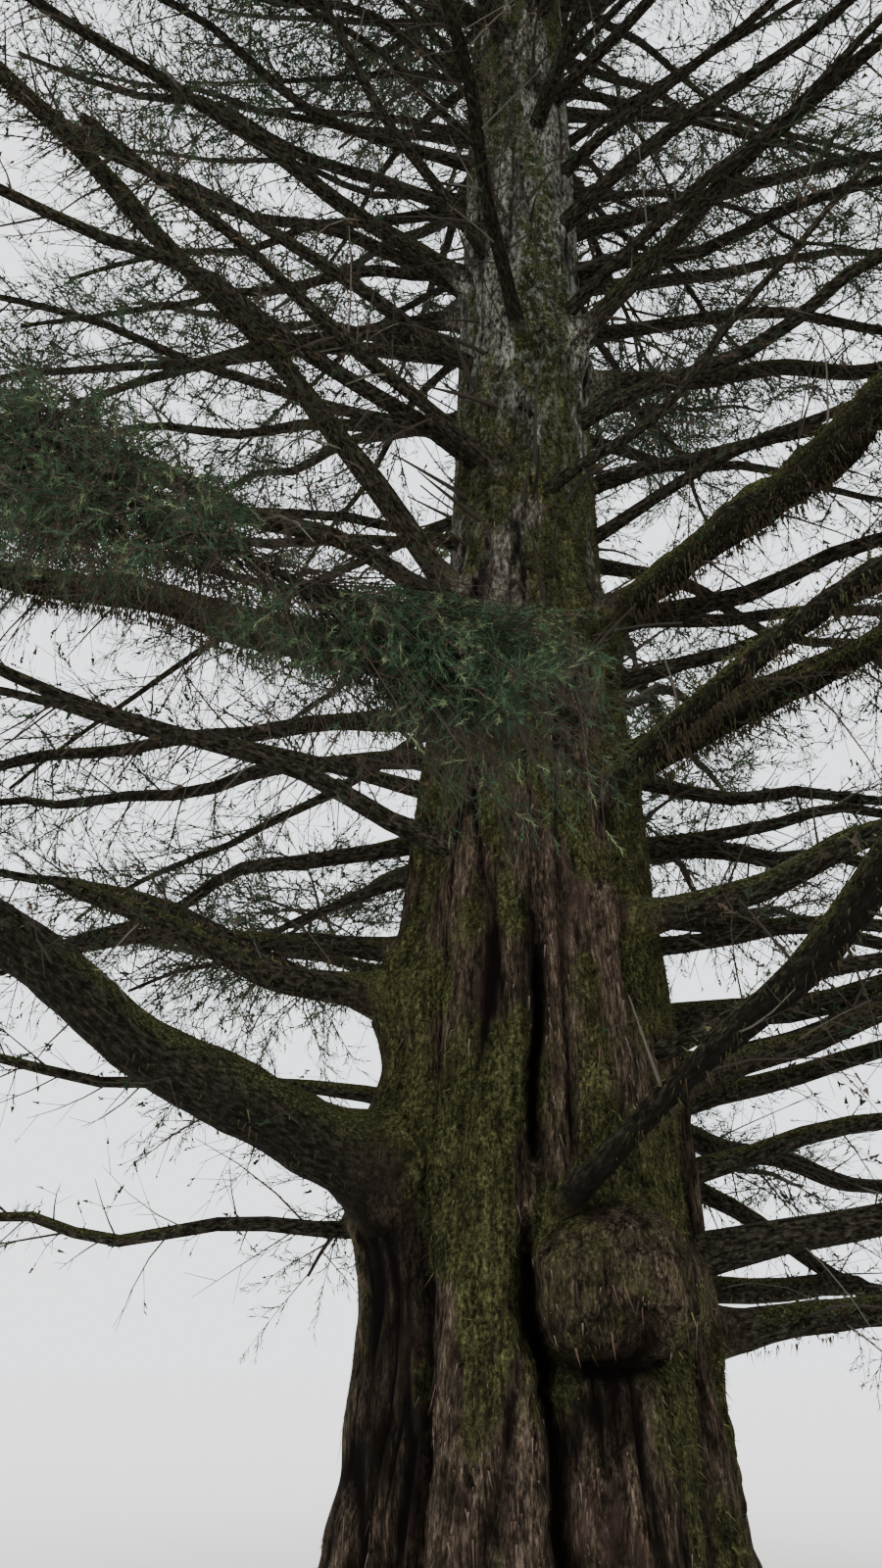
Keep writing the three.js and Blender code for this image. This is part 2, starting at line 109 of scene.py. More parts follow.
# Stems of the masses, as in the source: on the trunk, lengths and spreads go from the lowest to the highest
STEM_LEAVE = 0.3
CROWN_STEMS = 11
CROWN_NODES = [f"crown_foliage_{index + 1}" for index in range(CROWN_STEMS)]
CROWN_FOOT, CROWN_HEAD = 12.6, 27.6
CROWN_FIRST_AZIMUTH = 286
GOLDEN_ANGLE = 137.5
CROWN_STEM_LENGTHS = (5.3, 1.3)
CROWN_SPREADS = (2.3, 1.1)
CROWN_SPRAYS = (2.2, 1.2)
LEADER = {"azimuth": 120, "height": 29.3, "length": 2.6, "rise": 2.2, "spread": 0.9, "spray": 1.0}
TWIG_ANGLE = 58
TWIG_FLATNESS = 0.75
SPRAY_PER_TWIG = 1.22


def mix(a, b, t):
    return a + (b - a) * t


def smooth(t):
    s = np.clip(t, 0, 1)
    return s * s * (3 - 2 * s)


def chance(a, b, seed=0):
    """A repeatable number from 0 to 1 for two whole numbers, as in the source."""
    value = np.sin(np.asarray(a) * 127.1 + np.asarray(b) * 311.7 + seed * 74.7) * 43758.5453
    return value - np.floor(value)


def flat(azimuth):
    turn = np.radians(azimuth)
    return np.stack([np.cos(turn), np.sin(turn), np.zeros_like(turn)], -1)


def unit(vectors):
    return vectors / np.maximum(np.linalg.norm(vectors, axis=-1, keepdims=True), 1e-9)


def turn_from(azimuth, centre):
    return (azimuth - centre + 540) % 360 - 180


def noise(u, v, seed, period=0):
    """Smooth noise from 0 to 1 on a grid of whole numbers, closed after period cells of u if one is given."""
    u0, v0 = np.floor(u), np.floor(v)
    fu, fv = smooth(u - u0), smooth(v - v0)

    def corner(i, j):
        return chance(np.mod(i, period) if period else i, j, seed)

    low = mix(corner(u0, v0), corner(u0 + 1, v0), fu)
    high = mix(corner(u0, v0 + 1), corner(u0 + 1, v0 + 1), fu)
    return mix(low, high, fv)


def around(turn, height, cells, per_metre, seed):
    """Noise on the bark of a limb, with so many cells a turn round it and a metre along it."""
    return noise(turn * cells, height * per_metre, seed, cells)


def only(keep, *arrays):
    return [values[keep] for values in arrays]


# Trunk surface

def plain_radius(z):
    return np.interp(z, *PROFILE)


def column_swell(azimuth, z):
    turn = np.radians(COLUMN_COUNT * (azimuth - COLUMN_AZIMUTH))
    return COLUMN_DEPTH * (1 - smooth(z / COLUMN_TOP)) * np.cos(turn)


def furrow_depth(azimuth, z, narrowing=1.0):
    depth = 0.0
    for centre, foot, head, deep, half in FURROWS:
        across = np.abs(turn_from(azimuth, centre)) / (half * narrowing)
        along = np.clip((z - foot) / (head - foot), 0, 1)
        depth = depth + deep * (1 - smooth(across)) * np.sqrt(np.sin(np.pi * along))
    return depth


def burl_swell(azimuth, z):
    across = turn_from(azimuth, BURL["azimuth"]) / BURL["half"]
    along = (z - BURL["height"]) / np.where(z > BURL["height"], BURL["rise"], BURL["overhang"])
    return BURL["depth"] * np.sqrt(np.clip(1 - across * across - along * along, 0, 1))


def trunk_radius(azimuth, z):
    columns = plain_radius(z) * (1 + column_swell(azimuth, z))
    return columns - furrow_depth(azimuth, z) + burl_swell(azimuth, z)


def trunk_axis(z):
    z = np.asarray(z, float)
    return np.stack([TRUNK_LEAN * np.minimum(z, LEAN_TOP), np.zeros_like(z), z], -1)


def trunk_point(azimuth, z):
    return trunk_axis(z) + flat(azimuth) * np.asarray(trunk_radius(azimuth, z))[..., None]


# Curves of limbs and stems

def bough_path(row):
    at, heading, height, rise, lift, length, _, _ = row
    root = trunk_point(at, height)
    away = flat(heading)

    def path(s):
        s = np.asarray(s, float)
        climb = rise * s + lift * s * np.maximum(s, 0) / (2 * length)
        return root + s[..., None] * away + climb[..., None] * UP

    return path


def bough_radius(row, s):
    length, root, tip = row[5:]
    taper = np.clip(s / length, 0, 1) ** 0.8
    collar = 1 + COLLAR_WIDENING * np.exp(-np.maximum(s, 0) / COLLAR_LENGTH)
    return mix(root, tip, taper) / 2 * collar


def stem_path(stem):
    turn_point = stem["base"] + stem["start"] * stem["length"] * STEM_LEAVE
    end = turn_point + stem["bend"] * stem["length"] * (1 - STEM_LEAVE)

    def path(t):
        t = np.asarray(t, float)[..., None]
        return stem["base"] * (1 - t) ** 2 + turn_point * 2 * t * (1 - t) + end * t * t

    return path


def stem_on_bough(bough):
    turn, rise, length, spread = BOUGH_FOLIAGE[bough]
    name = FRONT_MASS if bough == "front_drooping_bough" else bough.replace("_bough", "_foliage")
    row = BOUGHS[bough]
    path = bough_path(row)
    return {"name": name, "base": path(row[5]), "start": unit(path(row[5]) - path(row[5] - 0.01)),
            "bend": unit(flat(row[1] + turn) + UP * rise), "length": length, "radius": row[7] / 2,
            "spread": spread, "spray": spread * SPRAY_PER_TWIG, "on_trunk": False}


def stem_on_trunk(index):
    share = index / (CROWN_STEMS - 1)
    height = mix(CROWN_FOOT, CROWN_HEAD, share)
    azimuth = CROWN_FIRST_AZIMUTH + GOLDEN_ANGLE * index
    rise = mix(0.15, 1.1, share)
    start = unit(flat(azimuth) + UP * rise)
    return {"name": CROWN_NODES[index], "start": start, "bend": unit(flat(azimuth) + UP * (rise - 0.3)),
            "base": trunk_point(azimuth, height) - start * plain_radius(height) * 0.6,
            "length": mix(*CROWN_STEM_LENGTHS, share), "radius": mix(0.095, 0.038, share),
            "spread": mix(*CROWN_SPREADS, share), "spray": mix(*CROWN_SPRAYS, share), "on_trunk": True}


def stem_of_leader():
    away, climb = flat(LEADER["azimuth"]), UP * LEADER["rise"]
    start = unit(away + climb)
    return {"name": "leader_foliage", "start": start, "bend": unit(away + climb * 3),
            "base": trunk_point(LEADER["azimuth"], LEADER["height"]) - start * 0.06, "radius": 0.034,
            "length": LEADER["length"], "spread": LEADER["spread"], "spray": LEADER["spray"],
            "on_trunk": True}


# The photograph's view, which keeps foliage out of the photographer's way

VIEW_DEPTH = 9.0


def in_photo(points):
    """Where points fall in the photograph, in its pixels, and how deep they lie."""
    tilt = np.radians(CAMERA_TILT)
    away = points - np.array(CAMERA_AT)
    depth = away[..., 1] * np.cos(tilt) + away[..., 2] * np.sin(tilt)
    height = -away[..., 1] * np.sin(tilt) + away[..., 2] * np.cos(tilt)
    scale = CAMERA_FOCAL_PIXELS / np.maximum(depth, 0.05)
    return PHOTO_SIZE[0] / 2 + away[..., 0] * scale, PHOTO_SIZE[1] / 2 - height * scale, depth


def seen(points, margin=40):
    """True where a point shows in the photograph."""
    x, y, depth = in_photo(points)
    across = np.abs(x - PHOTO_SIZE[0] / 2) < PHOTO_SIZE[0] / 2 + margin
    return (depth > 0) & across & (np.abs(y - PHOTO_SIZE[1] / 2) < PHOTO_SIZE[1] / 2 + margin)


def out_of_the_way(points):
    """False where a point would hide the trunk and its boughs from the photographer."""
    return ~(seen(points) & (in_photo(points)[2] < VIEW_DEPTH))


# Meshes

def new_object(name, vertices, faces, materials, numbers=None, shade_smooth=False):
    """A mesh from points, faces of equally many corners and a material number a face, riding on the tree."""
    faces = np.asarray(faces, np.int32)
    mesh = bpy.data.meshes.new(name)
    mesh.vertices.add(len(vertices))
    mesh.vertices.foreach_set("co", np.asarray(vertices, np.float32).ravel())
    mesh.loops.add(faces.size)
    mesh.loops.foreach_set("vertex_index", faces.ravel())
    mesh.polygons.add(len(faces))
    mesh.polygons.foreach_set("loop_start", np.arange(0, faces.size, faces.shape[1], dtype=np.int32))
    for material in materials:
        mesh.materials.append(material)
    if numbers is not None:
        mesh.polygons.foreach_set("material_index", np.asarray(numbers, np.int32))
    mesh.polygons.foreach_set("use_smooth", np.full(len(faces), shade_smooth))
    mesh.update(calc_edges=True)
    piece = bpy.data.objects.new(name, mesh)
    bpy.context.scene.collection.objects.link(piece)
    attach(piece, "root")
    return piece


def set_attributes(piece, **values):
    """One number a point for each name, which the material reads."""
    for name, numbers in values.items():
        layer = piece.data.attributes.new(name, "FLOAT", "POINT")
        layer.data.foreach_set("value", np.asarray(numbers, np.float32).ravel())


def set_on_bough(piece, along_it, turn, radius):
    """Where each point lies in its own bough, so that the bark's grain runs along it."""
    angle = turn * 2 * np.pi
    layer = piece.data.attributes.new("on_bough", "FLOAT_VECTOR", "POINT")
    places = np.stack([along_it, radius * np.cos(angle), radius * np.sin(angle)], -1)
    layer.data.foreach_set("vector", places.astype(np.float32).ravel())


def grid_faces(rings, sides):
    """Four-sided faces of one tube, facing out where its points run counter-clockwise."""
    ring, side = np.meshgrid(np.arange(rings - 1), np.arange(sides), indexing="ij")
    low, high, after = ring * sides, (ring + 1) * sides, (side + 1) % sides
    return np.stack([low + side, low + after, high + after, high + side], -1).reshape(-1, 4)


def frames_of(tangents):
    """Two directions square to each tangent, the second as upright as it can be."""
    across = np.cross(tangents, UP)
    weak = np.linalg.norm(across, axis=-1, keepdims=True) < 0.05
    across = unit(np.where(weak, np.array([1.0, 0, 0]), across))
    return across, np.cross(across, tangents)


def tubes(paths, radii, sides):
    """Points, faces and outward directions of many tubes, given the points and radii of their rings."""
    count, rings, _ = paths.shape
    across, above = frames_of(unit(np.gradient(paths, axis=1)))
    angles = np.arange(sides) / sides * 2 * np.pi
    wheel = across[:, :, None] * np.cos(angles)[:, None] + above[:, :, None] * np.sin(angles)[:, None]
    points = paths[:, :, None] + wheel * radii[:, :, None, None]
    faces = grid_faces(rings, sides)[None] + (np.arange(count) * rings * sides)[:, None, None]
    return points.reshape(-1, 3), faces.reshape(-1, 4)[:, ::-1], wheel.reshape(-1, 3)


def flakes(foot, way, length, width, side):
    """One pointed triangle for each foot, way, length, width and sideways direction."""
    half = side * (width / 2)[:, None]
    points = np.stack([foot - half, foot + half, foot + way * length[:, None]], 1)
    return points.reshape(-1, 3), np.arange(len(foot) * 3).reshape(-1, 3)


def random_unit(count):
    return unit(RNG.normal(size=(count, 3)))


class Gathered:
    """Points and faces of many small things that become one mesh, or a few where one would be too large."""

    def __init__(self):
        self.parts = []

    def add(self, points, faces, numbers=0):
        if len(faces):
            self.parts.append((points, faces, np.broadcast_to(numbers, len(faces))))

    def groups(self):
        """The parts, shared out so that no group holds more than PIECE_TRIANGLES."""
        groups, weight = [[]], 0
        for part in self.parts:
            triangles = len(part[1]) * (part[1].shape[1] - 2)
            if weight + triangles > PIECE_TRIANGLES and groups[-1]:
                groups.append([])
                weight = 0
            groups[-1].append(part)
            weight += triangles
        return groups

    def make(self, name, materials, slot, nodes, shade_smooth=False):
        pieces = []
        for number, parts in enumerate(self.groups()):
            points, faces, numbers = zip(*parts)
            starts = np.cumsum([0] + [len(some) for some in points])
            faces = np.concatenate([some + start for some, start in zip(faces, starts)])
            piece = new_object(f"{name}_{number + 1}", np.concatenate(points), faces, materials,
                               np.concatenate(numbers), shade_smooth)
            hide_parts(*nodes)
            pieces.append(piece)
        return pieces


# Materials

def plain_material(name, colour, roughness=0.85):
    material = bpy.data.materials.new(name)
    material.use_nodes = True
    shader = material.node_tree.nodes["Principled BSDF"]
    shader.inputs["Base Color"].default_value = (*colour, 1)
    shader.inputs["Roughness"].default_value = roughness
    shader.inputs["Specular IOR Level"].default_value = 0.10
    return material


def palette(kind, roughness, **colours):
    return [plain_material(f"{kind}_{name}", colour, roughness) for name, colour in colours.items()]


class Nodes:
    """Short calls that add and join the nodes of one material."""

    def __init__(self, name):
        self.material = bpy.data.materials.new(name)
        self.material.use_nodes = True
        self.tree = self.material.node_tree
        self.shader = self.tree.nodes["Principled BSDF"]
        self.shader.inputs["Roughness"].default_value = 0.95
        self.shader.inputs["Specular IOR Level"].default_value = 0.04
        self.place = self.tree.nodes.new("ShaderNodeTexCoord").outputs["Object"]

    def node(self, kind, inputs, **settings):
        """A new node: its inputs are numbers, vectors, colours or other nodes' outputs, by name or place."""
        made = self.tree.nodes.new("ShaderNode" + kind)
        for name, value in settings.items():
            setattr(made, name, value)
        for name, source in inputs.items():
            self.put(source, made.inputs[name])
        return made

    def put(self, source, socket):
        if isinstance(source, tuple):
            socket.default_value = (*source, 1)[:len(socket.default_value)]
        elif isinstance(source, (int, float)):
            socket.default_value = source
        else:
            self.tree.links.new(source, socket)

    def noise(self, stretch, detail=6, roughness=0.6):
        scaled = self.node("Mapping", {"Scale": stretch, "Vector": self.place}).outputs["Vector"]
        grain = {"Scale": 1, "Detail": detail, "Roughness": roughness, "Vector": scaled}
        return self.node("TexNoise", grain).outputs["Fac"]

    def ramp(self, value, stops):
        ramp = self.node("ValToRGB", {"Fac": value})
        elements = ramp.color_ramp.elements
        while len(elements) < len(stops):
            elements.new(0.5)
        for element, (place, colour) in zip(elements, stops):
            element.position = place
            element.color = (*colour, 1)
        return ramp.outputs["Color"]

    def spread(self, value, low, high):
        """value stretched so that low becomes 0 and high becomes 1."""
        return self.node("MapRange", {"From Min": low, "From Max": high, "Value": value}).outputs["Result"]

    def blend(self, share, first, second):
        inputs = {"Factor": share, "A": first, "B": second}
        return self.node("Mix", inputs, data_type="RGBA").outputs["Result"]

    def math(self, kind, first, second):
        return self.node("Math", {0: first, 1: second}, operation=kind).outputs["Value"]

    def add(self, first, second):
        return self.math("ADD", first, second)

    def times(self, first, second):
        return self.math("MULTIPLY", first, second)

    def swing(self, value, size):
        """value, moved to swing round 0 and scaled."""
        return self.times(self.math("SUBTRACT", value, 0.5), size)

    def attribute(self, name, output="Fac"):
        return self.node("Attribute", {}, attribute_name=name).outputs[output]

    def finish(self, colour, height, distance):
        bump = self.node("Bump", {"Strength": 1, "Distance": distance, "Height": height})
        self.put(colour, self.shader.inputs["Base Color"])
        self.put(bump.outputs["Normal"], self.shader.inputs["Normal"])
        return self.material


# Ramps: place in the grain and colour
BARK = ((0.41, (0.007, 0.005, 0.003)), (0.47, (0.050, 0.036, 0.024)), (0.53, (0.145, 0.106, 0.069)),
        (0.62, (0.410, 0.325, 0.235)))
GREY_BARK = ((0.40, (0.009, 0.008, 0.005)), (0.46, (0.100, 0.093, 0.069)), (0.52, (0.335, 0.317, 0.250)),
             (0.60, (0.740, 0.720, 0.620)))
TRUNK_MOSS = ((0.40, (0.006, 0.006, 0.002)), (0.47, (0.038, 0.038, 0.015)), (0.54, (0.115, 0.114, 0.042)),
              (0.64, (0.320, 0.310, 0.125)))
LIMB_BARK = ((0.36, (0.005, 0.004, 0.003)), (0.47, (0.021, 0.018, 0.012)), (0.56, (0.050, 0.043, 0.031)),
             (0.70, (0.130, 0.114, 0.086)))
BOUGH_MOSS = ((0.38, (0.006, 0.006, 0.002)), (0.50, (0.046, 0.047, 0.018)), (0.64, (0.175, 0.178, 0.070)))
# Plain colours that lie over them
RED_BARK = (0.085, 0.052, 0.041)
DAMP_BLOTCH = (0.014, 0.012, 0.006)
LICHEN = (0.430, 0.460, 0.405)
PIT = (0.006, 0.005, 0.003)
# Painted shade, near black, for the trunk's clefts, furrows, the burl's crease and the left flank
TRUNK_SHADE = (0.007, 0.005, 0.004)
# Painted shade for the boughs' undersides, and for some boughs all over
UNDERSIDE_SHADE = (0.008, 0.007, 0.005)
TRUNK_BUMP, BOUGH_BUMP = 0.05, 0.020


def trunk_colour(n):
    """Stringy red-brown bark, with painted shade near black in its clefts, furrows and creases and on the
    left flank, mossy on its plates, and greyer and lichened above.
    """
    strings = n.noise((30, 30, 3.6), detail=10, roughness=0.76)
    threads = n.noise((85, 85, 16), detail=6, roughness=0.75)
    fibres = n.times(n.add(strings, threads), 0.5)
    bark = n.blend(n.spread(n.noise((5, 5, 0.9), detail=4), 0.54, 0.70), n.ramp(fibres, BARK), RED_BARK)
    scales = n.noise((38, 38, 13), detail=7, roughness=0.74)
    bark = n.blend(n.attribute("grey"), bark, n.ramp(scales, GREY_BARK))
    mottle = n.noise((13, 13, 7), detail=9, roughness=0.72)
    broad = n.noise((2.6, 2.6, 1.3), detail=5, roughness=0.6)
    cover = n.add(n.add(n.attribute("moss"), n.swing(mottle, 2.2)), n.swing(broad, 1.4))
    grain = n.noise((46, 46, 32), detail=8, roughness=0.74)
    tufted = n.add(n.times(grain, 0.68), n.times(strings, 0.32))
    colour = n.blend(n.spread(cover, 0.25, 0.80), bark, n.ramp(tufted, TRUNK_MOSS))
    blotch = n.times(n.spread(n.noise((6, 6, 3), detail=4), 0.52, 0.36), 0.72)
    colour = n.blend(blotch, colour, DAMP_BLOTCH)
    flecks = n.spread(n.noise((17, 17, 11), detail=10, roughness=0.80), 0.50, 0.60)
    colour = n.blend(n.times(n.attribute("lichen"), flecks), colour, LICHEN)
    colour = n.blend(n.spread(mottle, 0.50, 0.32), colour, PIT)
    # Painted shade over the bark in clefts, furrows, the burl's crease and the left flank
    return n.blend(n.attribute("cleft"), colour, TRUNK_SHADE), n.add(n.times(fibres, 1.3), mottle)


def trunk_material():
    n = Nodes("trunk_bark")
    return n.finish(*trunk_colour(n), TRUNK_BUMP)


def bough_material():
    """Dark rough bark with moss where the moss attribute is high, painted shade on its underside and on some
    boughs all over, and the trunk's own bark at the root.
    """
    n = Nodes("bough_bark")
    trunk_bark, _ = trunk_colour(n)
    n.place = n.attribute("on_bough", "Vector")
    rough = n.noise((20, 44, 44), detail=9, roughness=0.68)
    grain = n.noise((60, 80, 80), detail=5, roughness=0.7)
    cover = n.add(n.attribute("moss"), n.swing(rough, 1.8))
    colour = n.blend(n.spread(cover, 0.35, 0.90), n.ramp(rough, LIMB_BARK), n.ramp(grain, BOUGH_MOSS))
    # Painted shade: darker undersides, and some whole boughs darker
    colour = n.blend(n.attribute("shade"), colour, UNDERSIDE_SHADE)
    colour = n.blend(n.attribute("root"), colour, trunk_bark)
    return n.finish(colour, n.add(rough, grain), BOUGH_BUMP)


TRUNK_BARK = trunk_material()
BOUGH_BARK = bough_material()
BARK_SHREDS = palette("shred", 0.85, dark=(0.042, 0.030, 0.024), red=(0.115, 0.068, 0.052),
                      pale=(0.150, 0.116, 0.092))
TWIGS = [plain_material("twig_bark", (0.044, 0.035, 0.026)),
         plain_material("dead_wood", (0.120, 0.103, 0.080))]
MOSSES = palette("moss", 1.0, brown=(0.050, 0.038, 0.022), dark=(0.042, 0.043, 0.018),
                 olive=(0.088, 0.087, 0.036), light=(0.165, 0.160, 0.068))
NEEDLES = palette("needles", 0.6, shaded=(0.019, 0.034, 0.016), blue_green=(0.043, 0.075, 0.041),
                  green=(0.064, 0.102, 0.048), olive=(0.145, 0.178, 0.086))
NEEDLES.append(plain_material("needles_dead", (0.074, 0.053, 0.036), 0.8))
NEEDLE_SHARES = (0.28, 0.36, 0.22, 0.10, 0.04)
DEAD_TINT = 4


# Trunk mesh: foot, head, sides and rings of each section

TRUNK_SECTIONS = ((0.0, 7.2, 280, 215), (7.15, 14.6, 136, 90), (14.5, TRUNK_HEIGHT, 50, 80))
CAP_CENTRE = 0.001
# By height: how much more or less moss, how many degrees the furrows wander, and how narrow they are
MOSS_BY_HEIGHT = ((0, 0.9, 1.8, 4.6, 6.5, 9, 13, 20),
                  (-0.06, 0.0, 0.12, 0.14, 0.12, 0.05, -0.02, -0.15))
WANDER_BY_HEIGHT = ((0, 0.7, 1.3, 2.2, 2.8, 3.4, 4.4, 5.6),
                    (3, 5, 5.5, -4.0, -2, 0, 2.5, 0))
NARROWING_BY_HEIGHT = ((0, 1.5, 2.6, 4.2, 5.2),
                       (0.62, 0.52, 0.44, 0.42, 0.36))
# The long furrow is filled at two heights, each over a half length
LONG_FURROW_AT = FURROWS[0][0]
FURROW_FILLED_AT = (2.52, 4.80)
FURROW_FILLED_HALF = (0.22, 0.74)
# The strip of painted shade on the left flank, the lichen and the grey bark above
FLANK_AT, FLANK_HALF, FLANK_HEIGHT = 213, 17, 1.9
LICHEN_SHARE, LICHEN_AT, LICHEN_HALF = 0.85, 11.0, 2.6
GREY_FROM, GREY_OVER, GREY_SHARE = 5.4, 3.6, 0.85
# How far the bark stands out, the form of the burl, where moss grows and how much painted shade darkens the
# furrows, the clefts, the crease round the burl and the left flank
SLAB_RELIEF, ROPE_RELIEF, STRAND_RELIEF, CLUMP_RELIEF = 0.040, 0.024, 0.010, 0.018
RIM_DEPTH, KNOB_SHARE = 0.07, 0.34
BURL_SQUARENESS, BURL_FULLNESS, BURL_TOP = 2.2, 1.25, 1.35
PARTING_DEPTH = 0.35
MOSS_FROM, MOSS_OVER = 0.44, 0.16
RIGHT_SIDE, RIGHT_MOSS = 20, 0.45
BURL_BARE, FLANK_BARE = 0.60, 0.8
FURROW_SHADE, RIM_SHADE, FLANK_SHADE = 0.95, 0.75, 0.68
THINNEST_TRUNK = 0.012


def plates(turn, z, cells, per_metre, seed):
    """1 on broad plates of bark and 0 in the narrow clefts between them."""
    return smooth(np.abs(2 * around(turn, z, cells, per_metre, seed) - 1) * 3.0)


def bark_plates(turn, z):
    """Slabs, the ropes on them and the strands on those, all swaying as they climb."""
    sway = 15 * (around(turn, z, 10, 0.5, 3) - 0.5) + 5 * (around(turn, z, 28, 1.4, 4) - 0.5)
    swayed = turn + sway / 360
    return plates(swayed, z, 30, 0.5, 11), plates(swayed, z, 72, 0.9, 12), plates(swayed, z, 150, 1.9, 13)


def burl_form(azimuth, z):
    """The burl's swell, fuller below and gentler above than the source's, and the crease round it and below
    it, which is cut in and also gets painted shade.
    """
    across = turn_from(azimuth, BURL["azimuth"]) / BURL["half"]
    up = (z - BURL["height"]) / BURL["rise"]
    along_it = np.where(up > 0, up * BURL_TOP, (z - BURL["height"]) / BURL["overhang"])
    power = BURL_SQUARENESS
    away = (np.abs(across) ** power + np.abs(along_it) ** power) ** (1 / power)
    away = away * (0.88 + 0.24 * around(azimuth / 360, z, 24, 3.1, 24))
    gentleness = mix(0.48, 0.95, smooth(up * 1.6))
    swell = BURL["depth"] * BURL_FULLNESS * np.clip(1 - away ** power, 0, 1) ** gentleness
    rim = np.exp(-((away - 1.06) / 0.10) ** 2) * smooth((-along_it + 0.1 - 0.5 * across) / 0.8)
    parting = np.exp(-((across + 0.06) / 0.13) ** 2) * smooth((-along_it - 0.15) / 0.5)
    parting = parting * smooth((1.15 - away) / 0.2)
    return swell * (1 - PARTING_DEPTH * parting), np.maximum(rim, 0.6 * parting)


def flank_share(azimuth, z):
    """1 on the bare strip of the left flank, which gets painted shade."""
    strip = smooth(1.6 - 1.6 * np.abs(turn_from(azimuth, FLANK_AT)) / FLANK_HALF)
    return strip * smooth(2.4 - np.abs(z - FLANK_HEIGHT) * 2)


def trunk_moss(azimuth, z, slabs, burl, flank):
    """Moss in patches by height: less on the right, the flank and the burl, more at the burl's right edge."""
    patches = 0.62 * around(azimuth / 360, z, 10, 0.7, 15) + 0.38 * around(azimuth / 360, z, 30, 2.6, 16)
    bias = np.interp(z, *MOSS_BY_HEIGHT)
    moss = smooth((patches + bias + 0.08 * (slabs - 0.5) - MOSS_FROM) / MOSS_OVER)
    moss = moss * mix(1.0, RIGHT_MOSS, smooth((turn_from(azimuth, RIGHT_SIDE) + 60) / 80))
    moss = moss * (1 - BURL_BARE * smooth(burl / 0.2)) * (1 - FLANK_BARE * flank)
    edge = smooth((turn_from(azimuth, BURL["azimuth"]) / BURL["half"] - 0.42) / 0.30) * smooth(burl / 0.08)
    return np.maximum(moss, edge * mix(0.35, 0.95, patches))


def wandering_furrows(azimuth, z):
    """How deep the furrows cut where they wander, crook, narrow and fill up as the photograph shows."""
    turn = azimuth / 360
    wander = azimuth - np.interp(z, *WANDER_BY_HEIGHT)
    wander = wander + 3 * (noise(z * 1.9, 4, 31) - 0.5) * (z < COLUMN_TOP)
    near = np.abs(turn_from(azimuth, LONG_FURROW_AT)) < 20
    filled = 1.0
    for middle, half in zip(FURROW_FILLED_AT, FURROW_FILLED_HALF):
        filled = filled * (1 - 0.9 * np.exp(-((z - middle) / half) ** 4) * near)
    crook = 2.4 * (around(turn, z, 10, 5.5, 32) - 0.5) + 1.4 * (around(turn, z, 20, 14, 33) - 0.5)
    return furrow_depth(wander + crook, z, np.interp(z, *NARROWING_BY_HEIGHT)) * filled


def trunk_surface(azimuth, z):
    """Points of the bark, how much painted shade each gets in clefts, furrows, the burl's crease and the left
    flank, how far it lies under moss and how grey its bark is, each from 0 to 1.
    """
    turn = azimuth / 360
    slabs, ropes, strands = bark_plates(turn, z)
    burl, rim = burl_form(azimuth, z)
    flank = flank_share(azimuth, z)
    moss = trunk_moss(azimuth, z, slabs, burl, flank)
    furrow = wandering_furrows(azimuth, z)
    clumps = around(turn, z, 110, 17, 14)
    knobs = around(turn, z, 34, 4.2, 21) + 0.7 * around(turn, z, 80, 9, 22) - 0.85
    size = np.clip(plain_radius(z), 0.12, 1)
    off_burl = 1 - 0.8 * smooth(burl / 0.15)
    relief = (SLAB_RELIEF * (slabs - 0.7) + ROPE_RELIEF * (ropes - 0.7)) * off_burl
    relief = (relief + STRAND_RELIEF * (strands - 0.7)) * size
    relief = relief + CLUMP_RELIEF * moss * (clumps - 0.4) * size
    radius = plain_radius(z) * (1 + column_swell(azimuth, z)) - furrow
    radius = radius + burl * (1 + KNOB_SHARE * knobs) - RIM_DEPTH * rim + relief
    points = trunk_axis(z) + flat(azimuth) * np.maximum(radius, THINNEST_TRUNK)[..., None]
    # Painted shade: near black in the furrows and in the clefts between plates, less where moss covers them
    in_furrow = smooth((furrow - 0.05) / 0.12)
    cleft_shade = (0.75 * (1 - slabs) ** 2 + 0.55 * (1 - ropes) ** 2) * off_burl + 0.25 * (1 - strands)
    # Painted shadow under the burl's overhang, and painted shade between its knobs
    under_burl_shadow = 0.5 * smooth((BURL["height"] - 0.12 - z) / 0.4)
    cleft_shade = cleft_shade + smooth(burl / 0.1) * (0.5 * np.clip(0.1 - knobs, 0, 1) + under_burl_shadow)
    cleft_shade = np.maximum(in_furrow * FURROW_SHADE, cleft_shade * (1 - 0.65 * moss))
    cleft = np.clip(cleft_shade + RIM_SHADE * rim + FLANK_SHADE * flank, 0, 1)
    return points, cleft, moss * (1 - in_furrow), smooth((z - GREY_FROM) / GREY_OVER) * GREY_SHARE


def fillet(away, name):
    """How far bark swells where trunk and bough meet, for a point that lies away from the other surface."""
    reach = 0.03 + 0.95 * BOUGHS[name][6]
    return look(name, "fillet") * reach * np.clip(1 - away / reach, 0, 1) ** 2


def swell_at_boughs(points, azimuth):
    """The trunk swells out to meet each bough."""
    out = flat(azimuth)
    for name, row in BOUGHS.items():
        near = np.linalg.norm(points - trunk_point(row[0], row[2]), axis=-1) < 0.4 + 1.5 * row[6]
        if not near.any():
            continue
        s = np.linspace(-0.2, 0.6, 11)
        away = np.linalg.norm(points[near][:, None] - bough_path(row)(s)[None], axis=-1)
        points[near] += out[near] * fillet((away - bough_radius(row, s)).min(1), name)[:, None]
    return points


